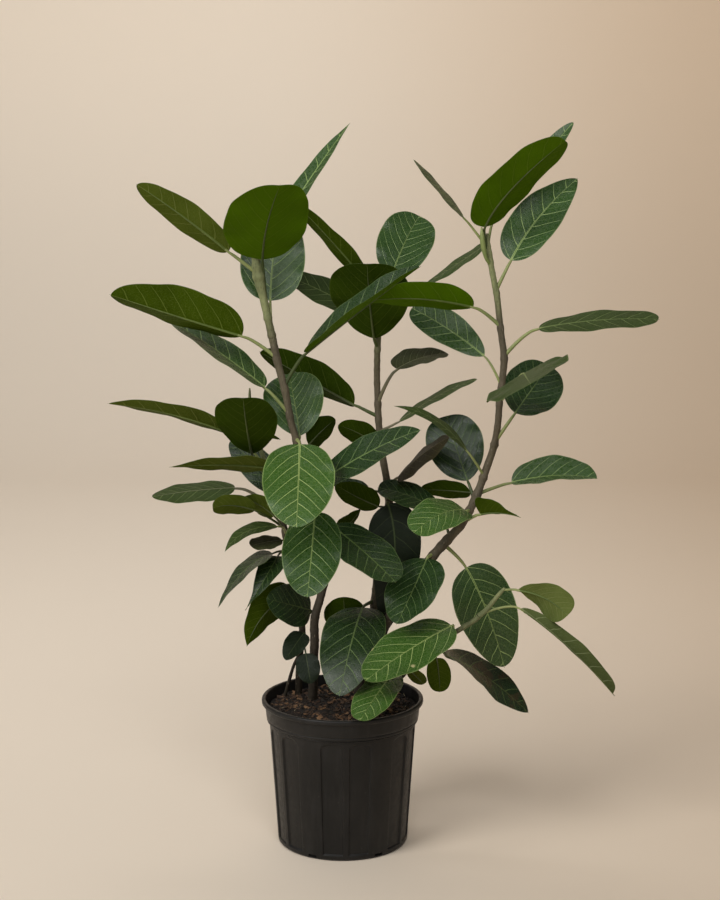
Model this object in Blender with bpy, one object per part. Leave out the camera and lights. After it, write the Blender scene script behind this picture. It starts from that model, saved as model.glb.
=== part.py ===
"""Potted bengal fig, about 1.17 m tall, in a black nursery pot.

Metres, +Z up, origin at the middle of the pot's underside. The front of the plant faces -Y.
The tables hold places in centimetres as they are seen from EYE against the upright plane through
the pot's middle: across, up, and how far behind that plane the place really is.
"""
import math

import bmesh
import bpy
from mathutils import Vector

CM = 0.01
EYE = Vector((2.87, -300, 117.2))
GAP = 0.03  # between touching pieces
SHOOT_GAP = 0.04  # between a stem's bark and its shoot
WALL_GAP = 0.048  # between the soil and the pot

POT_HEIGHT = 24.3
LIP_RADIUS = 13.25
SOIL_LEVEL = 22.8
SOIL_EDGE = 22.55
MOUND = 0.35  # how far the soil rises to the middle
UNEVEN = 0.12
STEM_DEPTH = 4.0
BURIED = 0.3  # how far below the soil's level a stem's root begins
ROOT_LEAN = 0.95  # how near the middle the root's end is, to its beginning
FLUTE_DEPTH = 0.25
# the wall's outer profile from the foot up: radius, height
POT_OUTER = [
    (10.2, 0.0), (10.75, 0.6), (12.0, 20.4), (12.45, 20.75), (12.7, 23.45), (LIP_RADIUS, 23.6),
    (LIP_RADIUS, POT_HEIGHT),
]
BODY_ROW = 1  # the row of the profile where the straight wall begins
POT_INNER = [(12.6, POT_HEIGHT), (12.1, 20.9), (11.55, 20.0), (10.3, 0.9)]
# flutes: where each starts and ends in a period of 60 degrees, seen from above, front at 0
FLUTES = [(-17.0, 1.0), (5.5, 23.5)]
PERIOD = 60
FLUTE_FOOT = 0.9
FLUTE_TOP = 20.1
FLUTE_ARCH = 1.3
FLUTE_SLOPE = 0.15  # height that the flute's foot and top take
FLUTE_SIDE = 0.7  # degrees that the flute's side takes
RIB_MIDDLE = FLUTES[1][1] + 9.75  # middle of the plain rib, where a drain notch is
NOTCH = (0.7, 0.3, 0.75)  # half width, bottom, top

BLADE = 0.08  # blade thickness
WAVE = 0.02  # the margin's wave, as a part of the leaf's width
WAVE_TURN = 14  # radians of the wave along a leaf
FOOT_HALF = 0.16  # least half width towards the blade's foot
TIP_HALF = 0.05
ROWS = (0, 0.03, 0.13, 0.3, 0.48, 0.67, 0.85, 1)
SMALL_ROWS = (0, 0.07, 0.3, 0.6, 0.84, 1)
SMALL_LEAF = 14  # shorter leaves have fewer rows
STALK_SIDES = 5
STALK = (.34, .3, .26, .2)  # radii of a stalk, from the stem to the blade
STALK_END = .07
SMALL_STALK = .7  # the same for a leaf under SMALL_WIDTH wide, as a part
SMALL_WIDTH = 6
STEM_SIDES = 7

# stems: across, up, behind, radius, from the soil up
STEMS = {
    "left": [
        (-4.9, 24.2, 3.2, .75), (-4.6, 33, 1.2, .72), (-4.5, 37.5, 1, .7), (-3.5, 41.2, 1.2, .66),
        (-2.4, 46, 1.5, .62), (-3, 50.5, 1.5, .6), (-5, 57, 1, .58), (-7.1, 66, .5, .56),
        (-8.2, 70, .3, .56), (-9.1, 75, 0, .58), (-10.35, 80, 0, .6), (-11.4, 85, 0, .6),
        (-12.5, 90, 0, .64), (-13.2, 93.5, 0, .86), (-13.7, 96.3, 0, .6),
    ],
    "back": [
        (-7.2, 25.2, 6.5, .6), (-7, 31, 4.8, .58), (-6.6, 36.5, 4, .55), (-8, 44, 4.5, .5),
        (-8.9, 49, 5, .48), (-9.3, 52.5, 5, .46), (-10.6, 58, 5.5, .44), (-12.6, 64, 6, .4),
        (-14, 69, 6, .36), (-14.7, 73, 6, .3), (-14.75, 75.4, 6, .12),
    ],
    "centre": [
        (2.5, 24.6, 4.8, .75), (4.4, 34, 3.2, .72), (5.4, 41, 3.5, .7), (5.9, 46, 4, .68),
        (7.3, 51.5, 4.5, .66), (7.6, 56, 5, .64), (7.15, 60.5, 5.2, .6), (6.5, 64.5, 5.5, .58),
        (5.85, 70, 5.8, .54), (5.62, 76, 6, .52), (5.6, 81, 6, .5), (5.9, 86, 6, .46),
        (6.4, 90, 6, .42), (6.6, 93, 6, .25),
    ],
    "right": [
        (4.5, 23.9, 1.6, .8), (5.6, 31, -.8, .78), (7.3, 37, -1.5, .76), (10.4, 42, -1.5, .75),
        (13.9, 46.9, -1.5, .74), (17.1, 50.7, -1.2, .72), (19, 52.9, -1, .68),
        (20.6, 55.6, -.9, .64), (21.7, 58, -.7, .62), (23.2, 62.3, -.3, .6), (24.35, 66, 0, .58),
        (25, 70, 0, .54), (25.2, 73.5, 0, .52), (25.6, 77, 0, .54), (25.8, 80.3, 0, .56),
        (25.4, 83.5, 0, .52), (24.95, 87, 0, .5), (24.5, 90.5, 0, .48), (23.75, 94, 0, .46),
        (23.2, 97, 0, .42), (22.95, 100, 0, .22),
    ],
    "low": [
        (6.5, 23.6, .8, .55), (9.5, 27.7, -2.6, .52), (13, 31.4, -4, .48), (16, 33.8, -4.5, .45),
        (18.6, 35.3, -5, .42), (21.4, 37.1, -5.5, .4), (23.6, 39.1, -5.8, .37),
        (25.2, 41.2, -6, .32), (26.4, 42.6, -6.2, .2),
    ],
    "thin": [
        (-9.3, 25, 5.4, .3), (-8.6, 27.6, 4.6, .28), (-7.8, 30, 3.6, .25),
        (-6.7, 32.1, 2.6, .21), (-5.9, 33.4, 2.2, .15),
    ],
}
# where each stem's bark ends and its green shoot begins, as heights
SHOOT_FROM = {"left": 83.5, "back": 55.6, "centre": 81.3, "right": 90.2, "low": 37.9, "thin": 0}
# leaf sheaths on the shoots: stem, height of the foot, places with radii
SHEATHS = [
    ("right", 95, [(22.8, 96.1, -.7, .3), (22.3, 98, -1, .42), (22.1, 99.6, -1.1, .36), (22, 101, -1.1, .1)]),
]

SKY = (0, 0, 1)
# blade outlines: powers of the distance from the foot and from the tip
OUTLINES = {
    "oval": (.42, .55), "pointed": (.45, .95), "blunt": (.4, .36), "wedge": (.8, .36),
    "beaked": (.45, 1.5), "lance": (.48, .72), "kite": (.6, .4), "square": (.42, .2),
}
# leaves: name, stem, height of the stalk's foot, blade's foot, middle and tip, where the upper
# face looks (right, to the front, up), width, fold in degrees, outline
LEAVES = [
    ("left_tip_a", "left", 93.6, (-17.9, 97.2, -1), (-25, 102.7, -3), (-32.1, 107.6, -5),
     (0, -.75, .68), 6, 10, "oval"),
    ("left_tip_b", "left", 87, (-12.5, 95.9, -1.3), (-11.8, 101.2, -7.5), (-9.7, 107.5, -13),
     SKY, 13.4, 8, "blunt"),
    ("left_tip_c", "left", 95, (-10.6, 99.8, 2.5), (-4.6, 109, 5.5), (1.2, 117, 8),
     (-.62, .63, .47), 4.4, 15, "pointed"),
    ("left_tip_d", "left", 84.3, (-11.35, 89.4, 1.6), (-10.8, 96.5, 5), (-9.7, 104, 8),
     (0, 1, .4), 10.4, 5, "oval"),
    ("left_long", "left", 80.3, (-15.9, 83.8, -.8), (-26, 86.9, -3), (-36.6, 90.3, -5),
     (0, -.7, .7), 10.4, 27, "oval"),
    ("left_grey", "left", 71.2, (-12.4, 75.6, .3), (-19.6, 81.2, 2.5), (-27.4, 86.3, 5),
     (.45, .35, .82), 7.2, 13, "oval"),
    ("centre_dark", "centre", 70.8, (1.9, 72.8, 6.5), (-5.2, 76.8, 9), (-13, 81.2, 9),
     (0, -.78, .62), 7.4, 25, "oval"),
    ("left_upright", "left", 66.6, (-6.8, 67.7, 1.4), (-7.6, 73.2, 3), (-8.5, 77.7, 3.8),
     (0, 1, .2), 9.8, 4, "kite"),
    ("left_drooping_upper", "left", 67.2, (-6.8, 66.3, -1.6), (-7.05, 59.8, -8.5), (-7.4, 52.7, -14),
     SKY, 11.5, 4, "oval"),
    ("left_drooping_lower", "left", 57.5, (-4.4, 55.2, -1.5), (-5, 48, -7.5), (-5.7, 41.1, -12.5),
     SKY, 9.5, 4, "oval"),
    ("left_band", "left", 75.6, (-5.6, 81.2, -1.5), (3.4, 88.2, -7.5), (12.3, 94.7, -10),
     (-.59, .21, .78), 7, 32, "oval"),
    ("left_inner", "left", 60.5, (-3.8, 60, -1), (4.6, 65.2, -3.5), (12.5, 68.6, -5),
     (-.2, .55, .8), 7.4, 5, "lance"),
    ("left_glossy", "left", 53.5, (-1.6, 52.9, -1), (4, 48.2, -6), (8.6, 43.6, -12),
     (0, .3, 1), 9, 5, "oval"),
    ("left_small", "left", 65.5, (-5.4, 66.3, 2.6), (-3.4, 68.4, 4), (-1.1, 70.4, 5),
     (-.3, -.8, .5), 5.5, 8, "oval"),
    ("left_behind", "left", 49, (-1.3, 50.4, 3), (0.8, 52.9, 4.5), (3, 55.7, 6),
     (-.4, -.7, .6), 5.4, 8, "pointed"),
    ("back_tip_a", "back", 60, (-14.5, 64.8, 2), (-15.3, 69.2, -3), (-15.8, 73.8, -8),
     SKY, 10, 8, "kite"),
    ("back_tip_b", "back", 62, (-17.6, 67.9, 3.5), (-27, 71.1, 1), (-37.3, 72.9, -1),
     (0, -.52, .85), 5.8, 16, "lance"),
    ("back_tip_c", "back", 57.5, (-11.5, 62.5, 2), (-19, 63, 0), (-27.6, 62.6, -2),
     (0, -.52, .85), 7, 4, "pointed"),
    ("back_tip_d", "back", 56.5, (-10.4, 58.6, 5.5), (-13.9, 63, 8.5), (-18, 66.7, 10.5),
     (0, .8, .5), 5.6, 5, "oval"),
    ("back_tip_e", "back", 68, (-14.2, 68.5, 7.5), (-12, 67.7, 7.5), (-9.9, 67.1, 8),
     (0, -.6, .8), 2.2, 10, "pointed"),
    ("back_grey", "back", 54.5, (-17.3, 59.2, 3.8), (-24, 58.7, 3), (-30.6, 57.7, 1),
     (0, .3, 1), 7, -5, "oval"),
    ("back_fork_a", "back", 52.5, (-14.1, 55.5, 1.5), (-17.6, 56.3, 0), (-20.9, 55.9, -1.5),
     (0, -1, .4), 4, 10, "blunt"),
    ("back_fork_b", "back", 52.3, (-11, 54.6, 2.5), (-13, 56.2, 2.5), (-15.9, 57.6, 1.5),
     (.2, -.8, .5), 4.5, 10, "oval"),
    ("back_curved", "back", 51.7, (-10.6, 52.9, .5), (-15.6, 51.9, -1.5), (-19, 48.7, -3),
     (0, .17, .98), 4.3, 5, "pointed"),
    ("back_short", "back", 50.5, (-9.8, 50.6, 1), (-12.4, 50.2, 0), (-14.8, 49.6, -1),
     (0, .3, 1), 4.6, 0, "blunt"),
    ("back_sickle_a", "back", 48.7, (-11.4, 48.4, 0), (-16.1, 45.3, -1.5), (-20.2, 39.4, -3),
     (-.71, .32, .68), 5.5, 5, "pointed"),
    ("back_sickle_b", "back", 48.3, (-10.5, 47.9, .5), (-12.6, 44.1, -2), (-15.8, 38.9, -3.5),
     (-.3, .5, .6), 5, 10, "beaked"),
    ("back_lower", "back", 43, (-8.3, 41.6, 2), (-12.6, 38.4, 0), (-15.6, 32.9, -2),
     (-.4, -.8, .5), 8.4, 10, "pointed"),
    ("back_round", "back", 37.5, (-5.2, 38.9, 2.6), (-8.4, 39.8, -.2), (-12.3, 40.8, -3),
     (0, 1, .5), 7, 5, "oval"),
    ("thin_a", "thin", 33.2, (-6.3, 35, 2.5), (-7.6, 33.2, 1), (-9.3, 30.5, -1),
     (0, .5, .8), 4, 10, "oval"),
    ("thin_b", "thin", 32.8, (-6, 31.6, -.2), (-5.6, 29, -1.6), (-5.2, 26.5, -2.4),
     (0, .6, .8), 4, 5, "oval"),
    ("centre_tip_a", "centre", 91.5, (8, 93.7, 6.8), (10, 98.7, 10.5), (12.2, 102.7, 14),
     (0, 1, .5), 9, 5, "blunt"),
    ("centre_tip_b", "centre", 82, (5.1, 83.4, 4.6), (4.4, 89.4, 1), (4, 95.2, -2.5), SKY, 13, 8, "kite"),
    ("centre_tip_c", "centre", 90, (4.5, 91.6, 4.5), (-.9, 98.1, 3), (-7.5, 104.9, 0),
     (.6, -.51, .6), 6, 5, "oval"),
    ("centre_tip_d", "centre", 86, (3.5, 87.2, 7.5), (-3, 90.8, 8.5), (-9, 93.3, 9),
     (0, .5, .87), 7, 5, "oval"),
    ("centre_grey", "centre", 73, (8.8, 78.5, 5), (12.4, 80.2, 8), (16.7, 81, 11),
     (-.35, .45, .8), 7, 10, "oval"),
    ("centre_narrow", "centre", 68.5, (9.2, 70.1, 4.5), (15.4, 74.2, 3.5), (21.5, 76.8, 2),
     (-.49, .14, .88), 5, 0, "oval"),
    ("centre_side", "centre", 59.5, (9, 61, 3.8), (12.8, 64.6, .3), (17.2, 67.5, -2.5),
     (-.55, .3, .8), 6.5, -10, "oval"),
    ("centre_inner", "centre", 66, (5.2, 66.5, 4.3), (2.5, 68.2, 3), (-.6, 69.4, 2),
     (0, -1, .5), 4.6, 8, "oval"),
    ("centre_pair_a", "centre", 56, (5.9, 56.2, 3.6), (2.5, 57.7, 3.2), (-1, 59.7, 2.5),
     (0, -.8, .6), 5.6, 8, "oval"),
    ("centre_pair_b", "centre", 58.3, (4.2, 58.9, 6), (1.2, 59.6, 6.5), (-2, 60.3, 7),
     (0, .6, .8), 3, 5, "oval"),
    ("right_shaded", "centre", 56.6, (7.4, 56.5, 3.3), (8.5, 46.9, 1.6), (6.3, 33.9, 0.6),
     (0, 1, .3), 8.6, 4, "pointed"),
    ("centre_low", "centre", 33.5, (.8, 35.5, 3), (.4, 38.5, 2.2), (.2, 41.1, 1.8),
     (0, -1, .3), 7, 5, "oval"),
    ("centre_hanging", "centre", 40.5, (3.3, 39.3, .8), (1.5, 33.5, -6), (-.5, 24.4, -11.5),
     SKY, 10.4, 4, "oval"),
    ("right_inward", "right", 85.3, (20.8, 88.4, -1.2), (12.3, 89.7, -3.5), (3.6, 89.3, -5),
     (0, -.75, .66), 6.4, 20, "lance"),
    ("right_glossy", "right", 75.7, (22.6, 80.6, 1), (17, 84.8, 4.5), (11.1, 88.2, 8),
     (-.2, .75, .6), 5.9, 5, "kite"),
    ("right_narrow", "right", 61.2, (19.9, 65.5, -2.5), (14.6, 70.4, -3.5), (8.4, 72.5, -4.5),
     (.63, .28, .76), 3.6, 0, "pointed"),
    ("right_upright", "right", 57.2, (20.2, 60.4, .8), (18.4, 65.5, 3.5), (16.7, 70.9, 6.5),
     (0, 1, .4), 9.3, 5, "kite"),
    ("right_across", "right", 51, (15.2, 55.7, .8), (10.8, 57.9, 1.2), (5.8, 59.2, 1.8),
     (0, .5, .8), 5.6, 5, "blunt"),
    ("right_short", "right", 58.8, (20.6, 58.5, 1.5), (16.8, 58.8, 3.2), (12.6, 58.9, 4.5),
     (0, -.8, .5), 4.2, 8, "oval"),
    ("right_bright", "right", 55.6, (20, 55.4, -2.2), (16.2, 55, -6), (11.6, 51.8, -9),
     (0, .5, 1), 8, 5, "blunt"),
    ("right_hooked", "right", 53.3, (22.3, 54.9, -1.5), (25.5, 55.1, -4), (28.8, 54.3, -7),
     (0, -.67, .74), 7, 24, "beaked"),
    ("right_out", "right", 58.2, (27.3, 60.1, .5), (34.5, 61.2, -2), (41, 60.7, -6),
     (0, .5, .87), 7.6, 25, "lance"),
    ("right_hanging", "right", 48.3, (13.7, 47.5, -2.8), (11.5, 42.3, -6.5), (8.9, 36.6, -10),
     SKY, 9.8, 4, "oval"),
    ("right_big", "right", 49.9, (20.1, 46, -.5), (23.5, 38.8, -.5), (26.5, 29.4, 0),
     (.1, 1, .3), 10, 5, "oval"),
    ("right_tip_a", "right", 97.5, (19.1, 102.6, -1), (15.5, 106.7, -2), (11.3, 111.4, -3),
     (.7, .3, .63), 3.4, 0, "oval"),
    ("right_tip_b", "right", 97, (22.5, 101, -.9), (26.6, 106.9, -4.5), (34.9, 114.4, -8),
     (-.3, -.6, .7), 9.6, 12, "blunt"),
    ("right_tip_c", "right", 98.5, (25, 104.5, 3), (30.9, 111.2, 4.5), (36.1, 117.2, 6),
     (-.4, .8, .4), 3.4, 15, "oval"),
    ("right_tip_d", "right", 91, (26.7, 95.8, .8), (31, 102.5, 4), (36.9, 108.5, 7.5),
     (-.3, .85, .4), 8, 8, "lance"),
    ("right_tip_e", "right", 96, (22.8, 98.3, 2.1), (18.6, 95.4, 4), (12.9, 91.6, 6),
     (-.53, .27, .84), 4.6, 0, "oval"),
    ("right_long", "right", 80.5, (31.3, 85, -.8), (41, 86.3, -2.5), (50.2, 86.4, -5),
     (0, .35, 1), 7.2, 0, "blunt"),
    ("right_round", "right", 66.6, (27.7, 71.4, 1), (29.9, 74.6, 5.5), (33, 79, 11),
     (0, 1, .5), 9.4, 5, "kite"),
    ("right_near", "right", 73.2, (29, 77.8, -3), (29.5, 77, -10), (30.1, 76.1, -18),
     (-.47, .3, .83), 14.4, 0, "blunt"),
    ("low_front", "low", 27, (8.2, 28.2, -5.5), (5.8, 24.8, -11), (2.9, 20.2, -15.5),
     SKY, 6.9, 4, "blunt"),
    ("low_broad", "low", 34.6, (17.8, 36.3, -6.5), (10.6, 32, -10.5), (3.8, 27, -15),
     (0, .3, 1), 10.6, 4, "oval"),
    ("low_tip_a", "low", 42.3, (28.6, 42.3, -6.5), (33, 40.9, -8), (36.7, 38, -9.5),
     (-.2, -.8, .5), 6.6, 5, "wedge"),
    ("low_tip_b", "low", 38.4, (29.1, 39.1, -6.5), (36.9, 32.7, -9), (44.4, 24.7, -8),
     (.61, .37, .77), 4.8, 28, "square"),
    ("low_brown", "low", 33.9, (17.3, 31.1, -1), (23.6, 27.6, 3.5), (30.5, 21.6, 5),
     (-.2, .45, .8), 7.6, 5, "lance"),
    ("low_small_a", "low", 31, (15.4, 30.8, -2.5), (15.8, 28, 0), (16, 25.1, 2),
     (0, -1, .3), 4, 5, "blunt"),
    ("low_small_b", "low", 29.5, (11, 28.8, -2), (12.2, 27.6, 0), (13.3, 26.4, 2),
     (0, -1, .3), 2.4, 5, "blunt"),
]

# a stem's shoot is fused with the leaves whose names begin with this
TIPS = {
    "left": "left_tip", "back": "back_tip", "centre": "centre_tip", "right": "right_tip",
    "low": "low_tip", "thin": "thin",
}
FORKS = ("back_fork", "back_sickle")  # two leaves from one foot
# leaves in the brighter and the darker green
BRIGHT = ("left_drooping_upper", "right_bright", "low_broad", "right_near")
DARK = (
    "centre_dark", "left_small", "left_behind", "left_inner", "back_lower", "back_round",
    "centre_inner", "centre_pair_a", "centre_pair_b", "right_shaded", "centre_low",
    "centre_hanging", "right_across", "right_short", "right_upright",
)
GREEN_DARK = (.035, .085, .025)
GREEN = (.06, .14, .035)
GREEN_BRIGHT = (.1, .2, .03)
BARK = (.16, .125, .085)
BLACK = (.018, .018, .018)
EARTH = (.05, .032, .022)


def place(across, up, behind):
    """The true place of what is seen from EYE at (across, up) on the plane, this far behind it."""
    start = Vector((across, 0, up))
    return EYE + (start - EYE) * (1 - behind / EYE.y)


def bezier(p0, p1, p2):
    """A curve through three places, and its direction."""
    control = 2 * p1 - (p0 + p2) / 2

    def at(t):
        return (1 - t) ** 2 * p0 + 2 * t * (1 - t) * control + t * t * p2

    def along(t):
        return (2 * (1 - t) * (control - p0) + 2 * t * (p2 - control)).normalized()

    return at, along


def outline(t, kind):
    """The blade's half width at t, as a part of the greatest."""
    a, b = OUTLINES[kind]
    widest = a / (a + b)
    return t ** a * (1 - t) ** b / (widest ** a * (1 - widest) ** b)


def material(name, colour, roughness):
    made = bpy.data.materials.new(name)
    made.use_nodes = True
    shader = made.node_tree.nodes["Principled BSDF"]
    shader.inputs["Base Color"].default_value = (*colour, 1)
    shader.inputs["Roughness"].default_value = roughness
    return made


def mesh_object(name, points, faces):
    """A mesh object from places in centimetres, with its faces turned outwards."""
    mesh = bpy.data.meshes.new(name)
    mesh.from_pydata([Vector(p) * CM for p in points], [], faces)
    work = bmesh.new()
    work.from_mesh(mesh)
    bmesh.ops.recalc_face_normals(work, faces=work.faces)
    bmesh.ops.triangulate(work, faces=[f for f in work.faces if len(f.verts) > 4])
    if work.calc_volume(signed=True) < 0:
        bmesh.ops.reverse_faces(work, faces=work.faces)
    work.to_mesh(mesh)
    work.free()
    made = bpy.data.objects.new(name, mesh)
    bpy.context.scene.collection.objects.link(made)
    return made


def tube(name, path, radii, sides):
    """A closed tube through the places of path."""
    points, faces, up = [], [], None
    for i, p in enumerate(path):
        way = (path[min(i + 1, len(path) - 1)] - path[max(i - 1, 0)]).normalized()
        if up is None:
            up = Vector((0, 0, 1)) if abs(way.z) < .9 else Vector((1, 0, 0))
        up = (up - up.dot(way) * way).normalized()
        across = way.cross(up)
        for k in range(sides):
            turn = 2 * math.pi * k / sides
            points.append(p + (up * math.cos(turn) + across * math.sin(turn)) * radii[i])
    for i in range(len(path) - 1):
        for k in range(sides):
            a, b = i * sides + k, i * sides + (k + 1) % sides
            faces.append((a, b, b + sides, a + sides))
    faces.append(tuple(range(sides))[::-1])
    faces.append(tuple(range(len(points) - sides, len(points))))
    return mesh_object(name, points, faces)


def applied(obj):
    """Applies the object's modifiers."""
    graph = bpy.context.evaluated_depsgraph_get()
    mesh = bpy.data.meshes.new_from_object(obj.evaluated_get(graph))
    obj.modifiers.clear()
    obj.data = mesh
    return obj


def boolean(obj, others, operation):
    """One Boolean of obj with the others as a collection, which are then removed."""
    group = bpy.data.collections.new("others")
    for other in others:
        group.objects.link(other)
    modifier = obj.modifiers.new(operation.lower(), "BOOLEAN")
    modifier.operation = operation
    modifier.operand_type = "COLLECTION"
    modifier.collection = group
    modifier.solver = "MANIFOLD"
    applied(obj)
    for other in others:
        bpy.data.objects.remove(other)
    bpy.data.collections.remove(group)
    return obj


def stem_places(stem, low=None, high=None):
    """Places and radii of a stem between two heights as seen, with its root below the soil."""
    found = [row for row in STEMS[stem] if (low or 0) < row[1] < (high or math.inf)]
    if low:
        found.insert(0, stem_row(stem, low))
    if high:
        found.append(stem_row(stem, high))
    path = [place(*row[:3]) for row in found]
    radii = [row[3] for row in found]
    if not low:
        way = path[1] - path[0]
        start = path[0] - way * ((path[0].z - SOIL_LEVEL + BURIED) / way.z)
        root = Vector((start.x * ROOT_LEAN, start.y * ROOT_LEAN, SOIL_LEVEL - STEM_DEPTH))
        path[:0] = [root, start]
        radii[:0] = [radii[0] * .9, radii[0] * 1.05]
    return path, radii


def stem_row(stem, height):
    """The stem's row at this height as seen, between the rows of the table."""
    rows = STEMS[stem]
    for a, b in zip(rows, rows[1:]):
        if a[1] <= height <= b[1]:
            part = (height - a[1]) / (b[1] - a[1])
            return tuple(x + (y - x) * part for x, y in zip(a, b))
    raise ValueError(stem)


def stem_piece(stem, name, low=None, high=None, more=0.0):
    path, radii = stem_places(stem, low, high)
    return tube(name, path, [r + more for r in radii], STEM_SIDES)


def leaf_frame(leaf):
    """Place, direction, upper face and side of the midrib at t."""
    at, along = bezier(place(*leaf[3]), place(*leaf[4]), place(*leaf[5]))
    face = Vector((leaf[6][0], -leaf[6][1], leaf[6][2])).normalized()

    def frame(t):
        way = along(t)
        normal = (face - face.dot(way) * way).normalized()
        return at(t), way, normal, way.cross(normal)

    return frame


def blade(leaf):
    """A thin folded blade with a waved margin: the same triangles on both faces, and a rim."""
    frame = leaf_frame(leaf)
    width, fold, kind = leaf[7], math.radians(leaf[8]), leaf[9]
    length = (frame(1)[0] - frame(0)[0]).length
    rows = ROWS if length > SMALL_LEAF else SMALL_ROWS
    over, under, faces = [], [], []
    for t in rows:
        p, way, normal, side = frame(t)
        least = FOOT_HALF if t < .5 else TIP_HALF
        half = max(outline(t, kind) * width / 2, least) if 0 < t < 1 else least
        for s in (-1, 0, 1):
            turn = WAVE_TURN * t + leaf[3][1] + 2 * s
            wave = WAVE * width * math.sin(turn) * min(1, 6 * t, 6 - 6 * t)
            lift = abs(s) * (half * math.sin(fold) + wave)
            q = p + side * half * s * math.cos(fold) + normal * lift
            over.append(q + normal * BLADE / 2)
            under.append(q - normal * BLADE / 2)
    count, last = len(over), len(rows) - 1
    for i in range(last):
        for j in (0, 1):
            a, b = i * 3 + j, i * 3 + j + 1
            c, d = b + 3, a + 3
            pair = [(a, b, c), (a, c, d)] if j else [(a, b, d), (b, c, d)]
            faces += pair + [tuple(count + v for v in reversed(f)) for f in pair]
    rim = [0, 1] + [i * 3 + 2 for i in range(last + 1)]
    rim += [last * 3 + 1] + [i * 3 for i in range(last, 0, -1)]
    for a, b in zip(rim, rim[1:] + rim[:1]):
        faces += [(b, a, a + count), (b, a + count, b + count)]
    return mesh_object(leaf[0], over + under, faces)


def stalk(leaf):
    """The leaf's stalk, from the middle of its stem, running on under the blade as its midrib."""
    frame = leaf_frame(leaf)
    row = stem_row(leaf[1], leaf[2])
    foot, foot_radius = place(*row[:3]), row[3]
    end, way = frame(0)[:2]
    control = end - way * (end - foot).length * .3
    path = [(1 - u) ** 2 * foot + 2 * u * (1 - u) * control + u * u * end for u in (0, .4, .75, 1)]
    slim = SMALL_STALK if leaf[7] < SMALL_WIDTH else 1
    radii = [min(r * slim, foot_radius * .8) for r in STALK] + [STALK_END]
    path.append(frame(.1)[0])
    return tube(leaf[0] + "_stalk", path, radii, STALK_SIDES)


def leaf_pieces(leaf):
    return [blade(leaf), stalk(leaf)]


def node(name, pieces, finish):
    """One named object from several pieces."""
    first = pieces[0]
    if len(pieces) > 1:
        boolean(first, pieces[1:], "UNION")
    first.name = name
    first.data.materials.clear()
    first.data.materials.append(finish)
    return first


def pot_stations():
    """Angles round the pot, and how much of the flute's depth and arch each has."""
    found = []
    for turn in range(360 // PERIOD):
        for start, end in FLUTES:
            a, b = start + turn * PERIOD, end + turn * PERIOD
            quarter = (b - a) / 4
            found += [(a, 0, 1), (a + FLUTE_SIDE, 1, 1), (a + quarter, 1, .3)]
            found += [((a + b) / 2, 1, 0), (b - quarter, 1, .3), (b - FLUTE_SIDE, 1, 1), (b, 0, 1)]
        found.append((RIB_MIDDLE + turn * PERIOD, 0, 1))
    return found


def around(angle, radius, height):
    turn = math.radians(angle)
    return Vector((math.sin(turn) * radius, -math.cos(turn) * radius, height))


def ring_mesh(name, rings, closed):
    """A body from rings of equal count: closed like a torus, or capped at both ends."""
    points = [p for ring in rings for p in ring]
    n, faces = len(rings[0]), []
    for i in range(len(rings) if closed else len(rings) - 1):
        for k in range(n):
            a, b = i * n + k, i * n + (k + 1) % n
            c, d = (b + n) % len(points), (a + n) % len(points)
            faces.append((a, b, c, d))
    if not closed:
        faces.append(tuple(range(n))[::-1])
        faces.append(tuple(range(len(points) - n, len(points))))
    return mesh_object(name, points, faces)


def pot():
    """The pot: a lathe profile with flutes pressed in between its foot and its collar."""
    stations = pot_stations()
    low, high = POT_OUTER[BODY_ROW], POT_OUTER[BODY_ROW + 1]

    def body(height):
        return low[0] + (high[0] - low[0]) * (height - low[1]) / (high[1] - low[1])

    rings = [[around(a, r, z) for a, _, _ in stations] for r, z in POT_OUTER[:BODY_ROW + 1]]
    # the flutes' foot and top, each a ring on the wall and one in the flute
    foot, top = FLUTE_FOOT, FLUTE_TOP - FLUTE_SLOPE
    flute_rings = ((foot, 0, 0), (foot + FLUTE_SLOPE, 0, 1), (top - FLUTE_SLOPE, 1, 1), (top, 1, 0))
    for level, arched, cut in flute_rings:
        ring = []
        for angle, deep, arch in stations:
            height = level - FLUTE_ARCH * arch * arched
            ring.append(around(angle, body(height) - FLUTE_DEPTH * deep * cut, height))
        rings.append(ring)
    rings += [[around(a, r, z) for a, _, _ in stations] for r, z in POT_OUTER[BODY_ROW + 1:] + POT_INNER]
    return ring_mesh("pot", rings, False)


def notches():
    """Drain notches in the bottom corner, under the plain ribs."""
    half, low, high = NOTCH
    found = []
    for turn in range(360 // PERIOD):
        angle = RIB_MIDDLE + turn * PERIOD
        points, wide = [], math.degrees(half / POT_OUTER[BODY_ROW][0])
        for radius in (POT_OUTER[0][0] - .1, POT_OUTER[BODY_ROW][0] + .5):
            for across, height in ((-wide, low), (wide, low), (wide, high), (-wide, high)):
                points.append(around(angle + across, radius, height))
        faces = [(0, 1, 2, 3), (4, 5, 6, 7), (0, 1, 5, 4), (1, 2, 6, 5), (2, 3, 7, 6), (3, 0, 4, 7)]
        found.append(mesh_object("notch", points, faces))
    return found


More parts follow.
